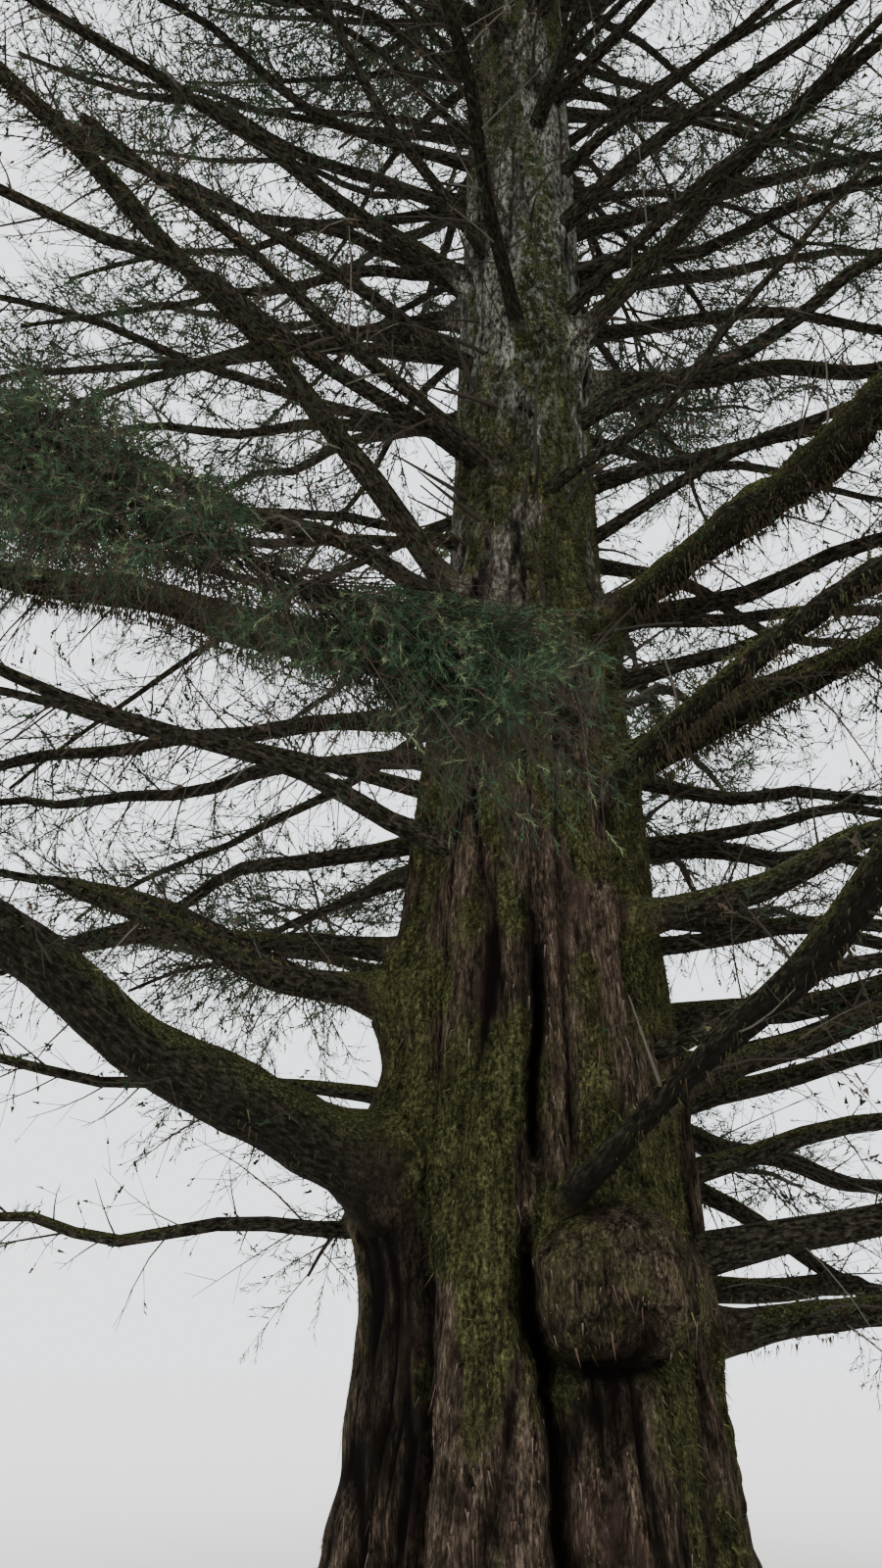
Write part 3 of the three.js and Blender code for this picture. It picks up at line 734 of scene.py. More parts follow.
def build_trunk():
    """One mesh of three sections, each a little inside the next, closed by a flat foot and a small top."""
    gathered, states = Gathered(), []
    for foot, head, sides, rings in TRUNK_SECTIONS:
        azimuth, z = np.meshgrid(np.arange(sides) / sides * 360, np.linspace(foot, head, rings))
        points, cleft, moss, grey = trunk_surface(azimuth, z)
        points = swell_at_boughs(points, azimuth)
        points[..., 2] = z
        lichen = LICHEN_SHARE * np.exp(-((z - LICHEN_AT) / LICHEN_HALF) ** 2)
        states.append(np.stack([cleft, moss, grey, lichen], -1).reshape(-1, 4))
        gathered.add(points.reshape(-1, 3), grid_faces(rings, sides))
        for ring in (0, -1):
            if z[ring, 0] in (0, TRUNK_HEIGHT):
                centre = trunk_axis(z[ring, 0])
                rim = np.stack([points[ring], centre + (points[ring] - centre) * CAP_CENTRE])
                cap = grid_faces(2, sides)
                gathered.add(rim.reshape(-1, 3), cap[:, ::-1] if ring == 0 else cap)
                states.append(np.zeros((sides * 2, 4)))
    piece, = gathered.make("trunk_bark", [TRUNK_BARK], "trunk_bark", ["trunk"], True)
    set_attributes(piece, **dict(zip(("cleft", "moss", "grey", "lichen"), np.concatenate(states).T)))


# Moss and shreds of bark on the trunk: how many, and up to which height

TRUNK_TUFTS, TUFTS_TOP = 110000, 10.5
TRUNK_SHREDS, SHREDS_TOP = 7000, 8.0
SHRED_SHARES = (0.5, 0.35, 0.15)
FRONT_SHARE = 0.72


def random_bark(count, top):
    """Random places on the bark, most of them on the side that the photograph shows."""
    front = RNG.random(count) < FRONT_SHARE
    azimuth = np.where(front, RNG.uniform(185, 355, count), RNG.uniform(0, 360, count))
    z = 0.05 + (top - 0.05) * RNG.random(count) ** 1.15
    return azimuth, z


def random_moss_tints(mean, spread, count):
    return np.clip(np.round(RNG.normal(mean, spread, count)), 0, len(MOSSES) - 1).astype(int)


def cover_trunk(name, materials, made, numbers):
    cover = Gathered()
    cover.add(*made, numbers)
    cover.make(name, materials, "trunk_bark", ["trunk"])


def build_trunk_moss():
    """Small tufts of moss on the trunk, none of them reaching below the ground."""
    azimuth, z = random_bark(TRUNK_TUFTS, TUFTS_TOP)
    points, cleft, moss, _ = trunk_surface(azimuth, z)
    keep = (moss > RNG.uniform(0.25, 1, TRUNK_TUFTS)) & (cleft < 0.5)
    foot, out = points[keep], flat(azimuth[keep])
    count = len(foot)
    foot = swell_at_boughs(foot, azimuth[keep]) - out * 0.004
    way = unit(out * 0.50 - UP * RNG.uniform(0.1, 1.1, count)[:, None] + random_unit(count) * 0.45)
    side = unit(np.cross(way, random_unit(count)))
    length = np.minimum(RNG.gamma(3.0, 0.011, count), foot[:, 2] * 0.8)
    tint = random_moss_tints(1.5, 0.9, count)
    cover_trunk("trunk_moss", MOSSES, flakes(foot, way, length, RNG.uniform(0.003, 0.009, count), side), tint)


def build_trunk_shreds():
    """Shreds of bark that hang along the trunk where it is bare."""
    azimuth, z = random_bark(TRUNK_SHREDS, SHREDS_TOP)
    points, cleft, moss, _ = trunk_surface(azimuth, z)
    keep = (moss < RNG.uniform(0.2, 1, TRUNK_SHREDS)) & (z > 0.45) & (cleft < 0.35)
    foot, out = points[keep], flat(azimuth[keep])
    count = len(foot)
    side = unit(np.cross(out, UP) + random_unit(count) * 0.15)
    way = unit(-UP + random_unit(count) * 0.30 + out * RNG.uniform(-0.02, 0.20, count)[:, None])
    length = RNG.gamma(2.2, 0.032, count)
    shreds = flakes(foot + out * 0.006, way, length, RNG.uniform(0.004, 0.012, count), side)
    cover_trunk("trunk_shreds", BARK_SHREDS, shreds, RNG.choice(3, count, p=SHRED_SHARES))


# Limbs, which look as usual except where the photograph shows otherwise: how mossy, how much painted shade
# darkens them below and above, how thick at the root and further out as shares of the source's, how strong
# the fillet at the trunk, and a bend of its own as a shift, its place and its reach.

USUAL_LOOK = {"moss": 0.35, "shade": (0.12, 0.0), "slim": (1, 1), "fillet": 0.24, "shift": ((0, 0, 0), 0, 1)}
MOSSY_SHADE = (0.75, 0.0)
LOOKS = {
    "left_lowest_bough": {"shade": (0.50, 0.10), "fillet": 0.30},
    "left_broken_bough": {"slim": (0.72, 0.40), "fillet": 0.30, "shift": ((0, 0, -0.08), 0.9, 0.9)},
    "left_mossy_bough": {"moss": 1.0, "shade": (0.60, 0.0)},
    "left_steep_bough": {"moss": 0.75},
    "left_crossing_bough": {"slim": (0.75, 0.85), "fillet": 0.12},
    "front_high_bough": {"moss": 0.6, "shade": (0.55, 0.10), "slim": (0.62, 0.66), "fillet": 0.12},
    "burl_bough": {"moss": 0.45, "shade": (0.85, 0.15), "slim": (0.52, 1.14), "fillet": 0.06,
                   "shift": ((-0.11, 0, -0.02), 0.0, 0.7)},
    "right_great_mossy_bough": {"moss": 1.0, "shade": MOSSY_SHADE, "slim": (0.66, 1.06), "fillet": 0.28},
    "right_inner_mossy_bough": {"moss": 0.85, "shade": MOSSY_SHADE, "slim": (0.84, 1.0)},
    "right_outer_mossy_bough": {"moss": 0.9, "shade": MOSSY_SHADE, "slim": (0.80, 1.0)},
    "right_crossing_bough": {"moss": 0.5, "slim": (0.85, 0.80)},
}
# Over which length a bough's girth changes, and how slim the ones under a root diameter are throughout
SLIM_FOR = 2.6
SLIMNESS, SLIM_UNDER = 0.86, 0.32
BROKEN_END = (0.9, 0.62, 0.02)
BEND = 0.16
LIMB_STEP, FINE_STEP = 0.075, 0.05
LIMB_SIDES, FINE_SIDES, FINE_FROM = 20, 30, 0.7
KNOBS, ROPES = 0.16, 0.16
CUSHION, GREAT_CUSHION = 0.06, 0.11


def look(name, kind):
    return LOOKS.get(name, USUAL_LOOK).get(kind, USUAL_LOOK[kind])


def slimness(name, s):
    return mix(*look(name, "slim"), smooth(s / SLIM_FOR))


def limb_points(name, start, seed, step=LIMB_STEP):
    """Points along a bough, with small bends that its root and its tip are free of."""
    row = BOUGHS[name]
    length = row[5]
    s = np.arange(start, length + step, step)
    s[-1] = length
    points = bough_path(row)(s)
    across, _ = frames_of(unit(np.gradient(points, axis=0)))
    hold = BEND * np.sin(np.pi * np.clip(s / length, 0, 1)) ** 0.6
    sideways = hold * (noise(s * 1.1, seed, 51) - 0.5)
    upward = hold * (noise(s * 1.3, seed + 9, 52) - 0.5)
    shift, place, reach = look(name, "shift")
    bend = np.exp(-((np.maximum(s, 0) - place) / reach) ** 2)[:, None] * np.array(shift)
    return s, points + across * sideways[:, None] + UP * upward[:, None] + bend


def limb_radius(name, seed, s):
    """How thick a bough is in the photograph, a little knobbly."""
    row = BOUGHS[name]
    radius = bough_radius(row, s) * (1 + 0.12 * (noise(s * 2.4, seed, 61) - 0.5))
    radius = radius * (1 if row[6] > SLIM_UNDER else SLIMNESS)
    radius = radius * np.clip(1 + 1.6 * s, 0.3, 1) * slimness(name, s)
    if name == "left_broken_bough":
        radius[-3:] = radius[-3:] * np.array(BROKEN_END)
    return radius


def limb_swell(name, seed, turn, ring, radius, away):
    """How far a bough's bark stands out: knobs, ropes, cushions of moss, and the fillet at the trunk."""
    rough = around(turn, ring, 7, 3.6, 62 + seed) + 0.5 * around(turn, ring, 14, 9, 66 + seed) - 0.75
    ropes = around(turn, ring, 10, 0.9, 63 + seed) - 0.5
    swell = radius * (KNOBS * rough + ROPES * ropes)
    lumps = 0.6 * around(turn, ring, 5, 5.0, 64 + seed) + 0.4 * around(turn, ring, 12, 13, 65 + seed)
    cushion = GREAT_CUSHION if name == "right_great_mossy_bough" else CUSHION
    swell = swell + cushion * look(name, "moss") ** 2 * np.clip(lumps - 0.22, 0, 1) * smooth(ring / 1.6)
    return swell + fillet(away, name) * smooth((ring + 0.12) / 0.12)


def build_bough(name, seed):
    """One bough with the relief of its bark, and the numbers that its material reads."""
    row = BOUGHS[name]
    moss = look(name, "moss")
    sides, step = (FINE_SIDES, FINE_STEP) if moss > FINE_FROM else (LIMB_SIDES, LIMB_STEP)
    s, points = limb_points(name, -ROOT_DEPTH, seed, step)
    radius = limb_radius(name, seed, s)
    vertices, faces, outward = tubes(points[None], radius[None], sides)
    ring = np.repeat(s, sides)
    turn = np.tile(np.arange(sides), len(s)) / sides
    upward = smooth((outward[:, 2] + 0.6) / 1.2)
    axis = trunk_axis(vertices[:, 2])
    away = np.linalg.norm((vertices - axis)[:, :2], axis=1) - plain_radius(vertices[:, 2])
    thick = np.repeat(radius, sides)
    vertices = vertices + outward * limb_swell(name, seed, turn, ring, thick, away)[:, None]
    slot = "mossy_bark" if "mossy" in name else "bough_bark"
    piece = new_object(name + "_bark", vertices, faces, [BOUGH_BARK], shade_smooth=True)
    patchy = smooth((around(turn, ring, 5, 1.6, 67 + seed) - 0.42 + 0.42 * moss) / 0.3)
    cover = patchy * mix(0.5 * moss, 1, upward) * mix(0.75, 1, moss)
    azimuth = np.degrees(np.arctan2(vertices[:, 1] - axis[:, 1], vertices[:, 0] - axis[:, 0])) % 360
    _, cleft, moss_there, grey = trunk_surface(azimuth, vertices[:, 2])
    root = 1 - smooth((away - 0.02) / (0.10 + 3.3 * row[6] * look(name, "fillet")))
    set_attributes(piece, moss=mix(cover, moss_there, root), root=root, cleft=cleft, grey=grey,
                   shade=mix(*look(name, "shade"), upward))
    set_on_bough(piece, ring + 10 * seed, turn, thick)
    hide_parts(name)


STRANDS_PER_BOUGH = 5200


def build_moss():
    """Short strands on the mossy boughs: light cushions on top, and a brown and olive fringe that hangs."""
    strands = Gathered()
    for seed, (name, row) in enumerate(BOUGHS.items()):
        moss = look(name, "moss")
        count = int(STRANDS_PER_BOUGH * moss ** 2)
        s, points = limb_points(name, 0.0, seed)
        place = RNG.uniform(0.06, 0.999, count) * (len(points) - 1)
        cell = place.astype(int)
        centre = mix(points[cell], points[cell + 1], (place - cell)[:, None])
        tangent = unit(points[cell + 1] - points[cell])
        across, above = frames_of(tangent)
        angle = RNG.uniform(0, 2 * np.pi, count)
        out = across * np.cos(angle)[:, None] + above * np.sin(angle)[:, None]
        clump = noise(place * 0.35, angle * 0.9, 81 + seed)
        stand_out = bough_radius(row, s[cell]) * slimness(name, s[cell]) + 0.035 * moss ** 2
        foot = centre + out * stand_out[:, None]
        low = np.clip(0.5 - out[:, 2], 0, 1.5)
        length = RNG.gamma(2.2, 0.010 + 0.030 * low * clump * moss, count) + 0.008
        way = unit(out * 0.55 - UP * (0.25 + 0.9 * low)[:, None]
                   + tangent * RNG.normal(0, 0.25, count)[:, None] + random_unit(count) * 0.35)
        side = unit(tangent + random_unit(count) * 0.5)
        tint = random_moss_tints(1.0 + 1.5 * out[:, 2], 0.7, count)
        strands.add(*flakes(foot, way, length, RNG.uniform(0.006, 0.016, count), side), tint)
    strands.make("hanging_moss", MOSSES, "mossy_bark", [name for name in BOUGHS if "mossy" in name])


# Twigs

def twig_paths(origin, direction, length, sag, rings, curl=None):
    """Paths of many twigs that leave their origins straight and bend down by sag, and sideways by curl."""
    t = np.linspace(0, 1, rings)[None, :, None]
    straight = origin[:, None] + direction[:, None] * length[:, None, None] * t
    fall = -UP * (sag * length)[:, None, None] * t ** 2
    return straight + fall + (0 if curl is None else curl[:, None] * length[:, None, None] * t ** 2)


def ends_of(origin, direction, length, *_):
    return origin + direction * length[:, None]


def add_twigs(gathered, paths, root_radius, tip_radius, sides=3, number=0):
    """Twigs along many paths, with one radius for all roots and tips or one for each."""
    root, tip = (np.broadcast_to(radius, len(paths))[:, None] for radius in (root_radius, tip_radius))
    radii = mix(root, tip, np.linspace(0, 1, paths.shape[1])[None])
    for first in range(0, len(paths), AT_ONCE):
        points, faces, _ = tubes(paths[first:first + AT_ONCE], radii[first:first + AT_ONCE], sides)
        gathered.add(points, faces, number)


def along(paths, parent, share):
    """The points at a share of the way along the parents' paths, and the paths' directions there."""
    place = np.minimum(share * (paths.shape[1] - 1), paths.shape[1] - 1.001)
    cell = place.astype(int)
    before, after = paths[parent, cell], paths[parent, cell + 1]
    return mix(before, after, (place - cell)[:, None]), unit(after - before)


def lean_out(tangent, tilt, turn):
    """Directions that lean out from the tangents by a tilt, turned round them, and flattened a little."""
    across, above = frames_of(tangent)
    return unit(tangent * np.cos(tilt)[:, None] + across * (np.sin(tilt) * np.cos(turn))[:, None]
                + above * (np.sin(tilt) * np.sin(turn) * TWIG_FLATNESS)[:, None])


def child_twigs(paths, per_parent, low, high, lean, length, sag_range, at_tip=0.55):
    """Origins, directions, lengths and sags of twigs that leave many parent paths by the golden angle."""
    parent = np.repeat(np.arange(len(paths)), per_parent)
    order = np.tile(np.arange(per_parent), len(paths)) + 0.5 + RNG.uniform(-0.4, 0.4, len(parent))
    share = mix(low, high, order / per_parent)
    origin, tangent = along(paths, parent, share)
    turn = np.radians(GOLDEN_ANGLE * np.arange(len(parent)) + 54 * RNG.random(len(parent)))
    tilt = np.radians(lean * RNG.uniform(0.75, 1.25, len(parent)))
    own = np.broadcast_to(length, len(paths))[parent]
    long = own * mix(1.0, at_tip, share) * RNG.uniform(0.75, 1.15, len(parent))
    return origin, lean_out(tangent, tilt, turn), long, RNG.uniform(*sag_range, len(parent))


# Needle sprays

def spray_template(needles, needle_length, needle_width, axis_width):
    """Triangles of one spray a metre long along +X: a slim axis and needles set round it in a spiral."""
    corners = [[0, -axis_width, 0], [0, axis_width, 0], [1, 0, 0]]
    for i in range(needles):
        share = (i + 0.5) / needles
        turn = np.radians(GOLDEN_ANGLE * i)
        out = np.array([0, np.cos(turn), np.sin(turn)])
        edge = np.array([0, -np.sin(turn), np.cos(turn)]) * needle_width / 2
        foot = np.array([0.04 + 0.86 * share, 0, 0])
        tip = foot + needle_length * (1 - 0.45 * share) * (0.82 * np.array([1, 0, 0]) + 0.57 * out)
        corners += [foot - edge, foot + edge, tip]
    return np.array(corners, float)


COARSE_SPRAY = spray_template(5, 0.68, 0.105, 0.032)
MIDDLE_SPRAY = spray_template(7, 0.46, 0.052, 0.016)
FINE_SPRAY = spray_template(9, 0.42, 0.050, 0.018)
DRY_TUFT = spray_template(3, 0.70, 0.260, 0.060)
SPRAY_LENGTH = 0.40
SHOWN_SHARE = 0.95
# Sprays that the photograph shows grow to full size with their depth in it
SIZES = (0.60, 1.00)
SIZING_FROM, SIZING_OVER = 10, 5


def add_sprays(gathered, template, origin, direction, length, tint):
    """Copies of a template along the directions, each rolled by chance."""
    across, above = frames_of(direction)
    roll = RNG.uniform(0, 2 * np.pi, len(origin))[:, None]
    side = across * np.cos(roll) + above * np.sin(roll)
    other = np.cross(direction, side)
    shape = template[None] * length[:, None, None]
    points = (origin[:, None] + shape[..., :1] * direction[:, None]
              + shape[..., 1:2] * side[:, None] + shape[..., 2:] * other[:, None])
    for first in range(0, len(points), AT_ONCE):
        part = points[first:first + AT_ONCE].reshape(-1, 3)
        tints_there = np.repeat(tint[first:first + AT_ONCE], len(template) // 3)
        gathered.add(part, np.arange(len(part)).reshape(-1, 3), tints_there)


def tints(count):
    edges = np.cumsum(NEEDLE_SHARES)[:-1]
    return np.searchsorted(edges, RNG.random(count))


class Foliage:
    """The twigs and needle sprays of one group of masses."""

    def __init__(self):
        self.twigs = Gathered()
        self.sprays = Gathered()
        self.nodes = []

    def make(self, label):
        self.twigs.make(label + "_twigs", TWIGS, "foliage", self.nodes)
        self.sprays.make(label + "_sprays", NEEDLES, "foliage", self.nodes)

    def clothe(self, origin, direction, length, sag, spacing):
        """Leafy branchlets: a thin twig each, and sprays along it, finer where the photograph shows them."""
        paths = twig_paths(origin, direction, length, sag, 3)
        add_twigs(self.twigs, paths, length * 0.006 + 0.003, 0.002)
        foot, reach, share = sprays_along(paths, length, spacing)
        long = SPRAY_LENGTH * RNG.uniform(0.75, 1.2, len(foot)) * mix(1.1, 0.8, share)
        shown = seen(foot)
        clear = out_of_the_way(foot + reach * long[:, None]) & clear_of_trunk(foot, LIMB_GAP)
        hidden = ~shown & clear
        add_sprays(self.sprays, COARSE_SPRAY, *only(hidden, foot, reach, long), tints(hidden.sum()))
        shown = shown & clear & (RNG.random(len(foot)) < SHOWN_SHARE)
        foot, reach, long = only(shown, foot, reach, long)
        size = long * mix(*SIZES, smooth((in_photo(foot)[2] - SIZING_FROM) / SIZING_OVER))
        add_sprays(self.sprays, MIDDLE_SPRAY, foot, reach, size, tints(len(foot)))


def sprays_along(paths, length, spacing):
    """Feet, directions and places along the twig of the sprays of many twigs."""
    per = np.maximum((length / spacing).astype(int), 3)
    parent = np.repeat(np.arange(len(length)), per)
    order = np.arange(len(parent)) - np.repeat(np.cumsum(per) - per, per)
    share = 0.10 + 0.90 * (order + RNG.uniform(0.1, 0.9, len(order))) / per[parent]
    foot, tangent = along(paths, parent, share)
    reach = unit(tangent * mix(0.75, 1.5, share)[:, None] + random_unit(len(foot)) * 0.9 + UP * 0.12)
    return foot, reach, share


# Masses of foliage

# Twigs of a mass and the spacing of its sprays, on a bough and on the trunk
BOUGH_MASS, CROWN_MASS = (14, 0.105), (22, 0.125)
BRANCHLETS_PER_TWIG = 8
BRANCHLET_SHARE = 0.62
BRANCHLET_LEAN = 42
MASS_TWIG = {"sag": 0.10, "root": 0.026, "tip": 0.006}
LIMB_GAP = 0.04
NEIGHBOUR_GAP = 0.05
FOLIAGE_FOOT = 0.4


def limb_samples():
    return np.concatenate([bough_path(row)(np.linspace(0, row[5] * 0.97, 30)) for row in BOUGHS.values()])


def distance_to(points, samples):
    return np.sqrt(((points[:, None] - samples[None]) ** 2).sum(-1)).min(1)


def clear_of_trunk(points, gap):
    away = np.linalg.norm((points - trunk_axis(points[:, 2]))[:, :2], axis=1)
    return (points[:, 2] > FOLIAGE_FOOT) & (away > plain_radius(points[:, 2]) + gap)


def stays_in(points, own, others):
    """True where a point is nearer to its own stem than to any other, off the trunk and out of the way."""
    nearer = distance_to(points, others) > distance_to(points, own) + NEIGHBOUR_GAP
    return clear_of_trunk(points, LIMB_GAP) & nearer & out_of_the_way(points)


def mass_twigs(stem, seed, count):
    """Twigs of a stem by the source's rule, with more of them."""
    path = stem_path(stem)
    i = np.arange(count)
    t = mix(0.32 if stem["on_trunk"] else 0.16, 0.95, i / (count - 1))
    turn = np.radians(GOLDEN_ANGLE * i + 360 * chance(seed, 1))
    lean = np.radians(TWIG_ANGLE * mix(0.85, 1.15, chance(seed, 10 + i)))
    lean = lean * mix(1, 0.35, smooth((t - 0.72) / 0.2))
    direction = lean_out(unit(path(t + 0.01) - path(t - 0.01)), lean, turn)
    return path(t), direction, stem["spread"] * mix(1, 0.6, t) * mix(0.85, 1.1, chance(seed, 30 + i))


def grow_mass(foliage, stem, seed, own, others):
    """The twigs of one mass and their leafy branchlets, as many and as close as its kind has."""
    count, spacing = CROWN_MASS if stem["on_trunk"] else BOUGH_MASS
    found = mass_twigs(stem, seed, count)
    found = only(stays_in(ends_of(*found), own, others), *found)
    paths = twig_paths(*found, MASS_TWIG["sag"], 5)
    add_twigs(foliage.twigs, paths, MASS_TWIG["root"], MASS_TWIG["tip"], 4)
    length = stem["spray"] * BRANCHLET_SHARE
    found = child_twigs(paths, BRANCHLETS_PER_TWIG, 0.20, 1.0, BRANCHLET_LEAN, length, (0.02, 0.22), 1.1)
    foliage.clothe(*only(stays_in(ends_of(*found), own, others), *found), spacing)


# The foliage that hangs in front of the trunk: the edges of its band in the photograph's pixels

BAND_ACROSS = (0, 130, 245, 300, 440, 640, 690)
BAND_TOP = (375, 405, 500, 572, 612, 632, 700)
BAND_FOOT = (570, 585, 640, 685, 745, 765, 720)
BAND_FRINGE = 175
DEAD_FROM, DEAD_TO = 20, 420
FRONT_BRANCHLETS = 600
FRONT_BARE = 800
# Each third of the branchlets starts between two shares of the stem
FRONT_THIRDS = ((0.05, 0.80), (0.62, 1.0), (0.88, 1.0))
FRONT_SPACING = 0.0175
DEAD_DOWN = 150


def in_band(points, slack):
    """True in the band where the photograph shows this foliage, which thins out below."""
    x, y, _ = in_photo(points)
    fringe = BAND_FRINGE * RNG.random(len(x)) ** 2.4
    above = y > np.interp(x, BAND_ACROSS, BAND_TOP) - slack
    return (x < BAND_ACROSS[-1]) & above & (y < np.interp(x, BAND_ACROSS, BAND_FOOT) + slack + fringe)


def front_branchlets(foliage, path):
    """Curved branchlets that leave the hanging stem, and the finer twigs on them with their lengths."""
    third = FRONT_BRANCHLETS // 3
    t = np.concatenate([RNG.uniform(low, high, third) for low, high in FRONT_THIRDS])
    tangent = unit(path(t + 0.01) - path(t - 0.01))
    late = smooth((t - 0.75) / 0.2)[:, None]
    way = unit(tangent * mix(0.5, 0.95, late) + random_unit(len(t)) * mix(0.95, 0.5, late) - UP * 0.10)
    length = RNG.uniform(0.35, 0.75, len(t)) + 0.70 * late[:, 0] * RNG.random(len(t))
    paths = twig_paths(path(t), way, length, RNG.uniform(0.05, 0.45, len(t)), 6, random_unit(len(t)) * 0.18)
    paths = paths[in_band(paths[:, -1], 20)]
    add_twigs(foliage.twigs, paths, 0.006, 0.0015)
    children = child_twigs(paths, 5, 0.15, 1.0, 55, 0.30, (0.0, 0.7), 0.8)
    finer = twig_paths(*children, 3, random_unit(len(children[0])) * 0.2)
    add_twigs(foliage.twigs, finer, 0.0026, 0.0012)
    return finer, children[2]


def grow_front_mass(foliage, stem):
    """Fine dark needles along a stem that hangs in front of the trunk, with brown dead sprays at its left."""
    path = stem_path(stem)
    foot, reach, _ = sprays_along(*front_branchlets(foliage, path), FRONT_SPACING)
    foot = foot + random_unit(len(foot)) * 0.012
    long = RNG.uniform(0.06, 0.12, len(foot))
    x, y, _ = in_photo(foot)
    low = (y - np.interp(x, BAND_ACROSS, BAND_TOP)) / DEAD_DOWN
    dead = (x > DEAD_FROM) & (x < DEAD_TO) & (RNG.random(len(foot)) < 0.20 * low)
    dead = dead | (RNG.random(len(foot)) < 0.03)
    clump = noise(foot[:, 0] * 5 + foot[:, 1] * 3, foot[:, 2] * 5 - foot[:, 1] * 3, 91)
    keep = in_band(foot + reach * long[:, None], 8) & (clump > RNG.uniform(0.22, 0.70, len(foot)))
    tint = np.where(dead, DEAD_TINT, tints(len(foot)))
    add_sprays(foliage.sprays, FINE_SPRAY, *only(keep, foot, reach, long, tint))
    grow_bare_front(foliage, path)


def grow_bare_front(foliage, path):
    """Fine bare twigs that curl between the needles."""
    t = RNG.uniform(0.1, 1.0, FRONT_BARE)
    start = path(t) + random_unit(FRONT_BARE) * RNG.uniform(0.02, 0.35, FRONT_BARE)[:, None]
    bare = twig_paths(start, unit(random_unit(FRONT_BARE) - UP * 0.3), RNG.uniform(0.12, 0.42, FRONT_BARE),
                      RNG.uniform(0, 0.5, FRONT_BARE), 4, random_unit(FRONT_BARE) * 0.35)
    add_twigs(foliage.twigs, bare[in_band(bare[:, -1], 34)], 0.0035, 0.0015)


# Thin boughs between the main ones, bare inside the crown and leafy at their ends.
# The photograph shows the first ones: azimuth, heading, height, rise, lift, length, root diameter.

SHOWN_BOUGHS = (
    (155, 155, 5.27, -0.03, -0.18, 4.2, 0.15), (150, 150, 5.00, -0.15, 0.00, 3.0, 0.08),
    (225, 203, 4.83, 0.28, -0.11, 4.2, 0.15), (190, 190, 10.74, 0.33, 0.15, 4.4, 0.14),
    (205, 205, 12.36, -0.14, 0.69, 4.3, 0.13), (222, 222, 11.04, 0.60, -0.05, 4.2, 0.12),
    (165, 165, 12.17, 0.24, -0.30, 4.6, 0.13), (165, 165, 9.26, 0.25, -0.11, 4.8, 0.14),
    (30, 30, 2.08, -0.02, 0.00, 4.8, 0.20), (350, 352, 2.25, 0.18, -0.03, 4.8, 0.23),
    (5, 5, 3.78, 0.18, 0.01, 5.0, 0.22), (15, 15, 3.21, 0.21, 0.00, 4.6, 0.18),
    (25, 25, 4.73, 0.02, -0.11, 4.4, 0.18), (20, 20, 5.79, 0.04, -0.03, 4.2, 0.14),
    (340, 345, 6.84, 0.16, -0.06, 4.4, 0.17), (318, 320, 11.34, 0.36, -0.62, 4.4, 0.15),
    (345, 345, 10.93, 0.02, 0.30, 4.6, 0.15), (285, 312, 7.94, 0.31, -0.02, 3.0, 0.10),
    (38, 32, 3.05, -0.62, 0.55, 3.2, 0.16),
)
THIN_BOUGHS = 330
THIN_FOOT, THIN_HEAD = 2.2, 32.0
ENVELOPE = ((0, 2, 4, 8, 12, 16, 20, 24, 28, 31, 33),
            (5.0, 6.2, 7.0, 7.2, 6.9, 6.1, 5.1, 4.0, 2.7, 1.4, 0.4))
# None toward the photographer up to a height, nor on one patch of the trunk: two azimuths, foot and head
CAMERA_AZIMUTH, OPEN_HALF, OPEN_TOP = 266, 46, 14.0
BARE_PATCH = (165, 225, 3.8, 4.95)
BOUGH_GAP = 0.26
THIN_RINGS, THIN_SIDES = 15, 7
THIN_SPACING = 0.088


def thin_bough_rows():
    """The shown rows, and more like them with room on the trunk."""
    i = np.arange(THIN_BOUGHS)
    share = i / (THIN_BOUGHS - 1)
    height = mix(THIN_FOOT, THIN_HEAD, share ** 0.92) + RNG.uniform(-0.1, 0.1, THIN_BOUGHS)
    azimuth = (31 + GOLDEN_ANGLE * i) % 360
    heading = azimuth + RNG.uniform(-12, 12, THIN_BOUGHS)
    rear = np.abs(turn_from(azimuth, 90)) < 75
    rise = mix(0.10, 1.0, share) + RNG.uniform(-0.15, 0.2, THIN_BOUGHS) * np.where(rear, 2.2, 1)
    reach = np.interp(height, *ENVELOPE) - plain_radius(height)
    length = reach * RNG.uniform(0.70, 0.92, THIN_BOUGHS) / np.sqrt(1 + 0.5 * rise ** 2)
    root = (0.026 + 0.017 * length) * RNG.uniform(0.8, 1.4, THIN_BOUGHS)
    rows = np.stack([azimuth, heading, height, rise, RNG.uniform(-0.5, 0.15, THIN_BOUGHS), length, root], 1)
    return np.concatenate([np.array(SHOWN_BOUGHS), rows[has_room(azimuth, heading, height)]])


def has_room(azimuth, heading, height):
    """True for the thin boughs that neither the view, the bare patch nor a bough's root is in the way of."""
    keep = (np.abs(turn_from(heading, CAMERA_AZIMUTH)) > OPEN_HALF) | (height > OPEN_TOP)
    left, right, foot, head = BARE_PATCH
    keep &= (azimuth < left) | (azimuth > right) | (height < foot) | (height > head)
    for row in list(BOUGHS.values()) + list(SHOWN_BOUGHS):
        across = np.radians(np.abs(turn_from(azimuth, row[0]))) * plain_radius(height)
        keep &= np.hypot(across, height - row[2]) > BOUGH_GAP
    return keep


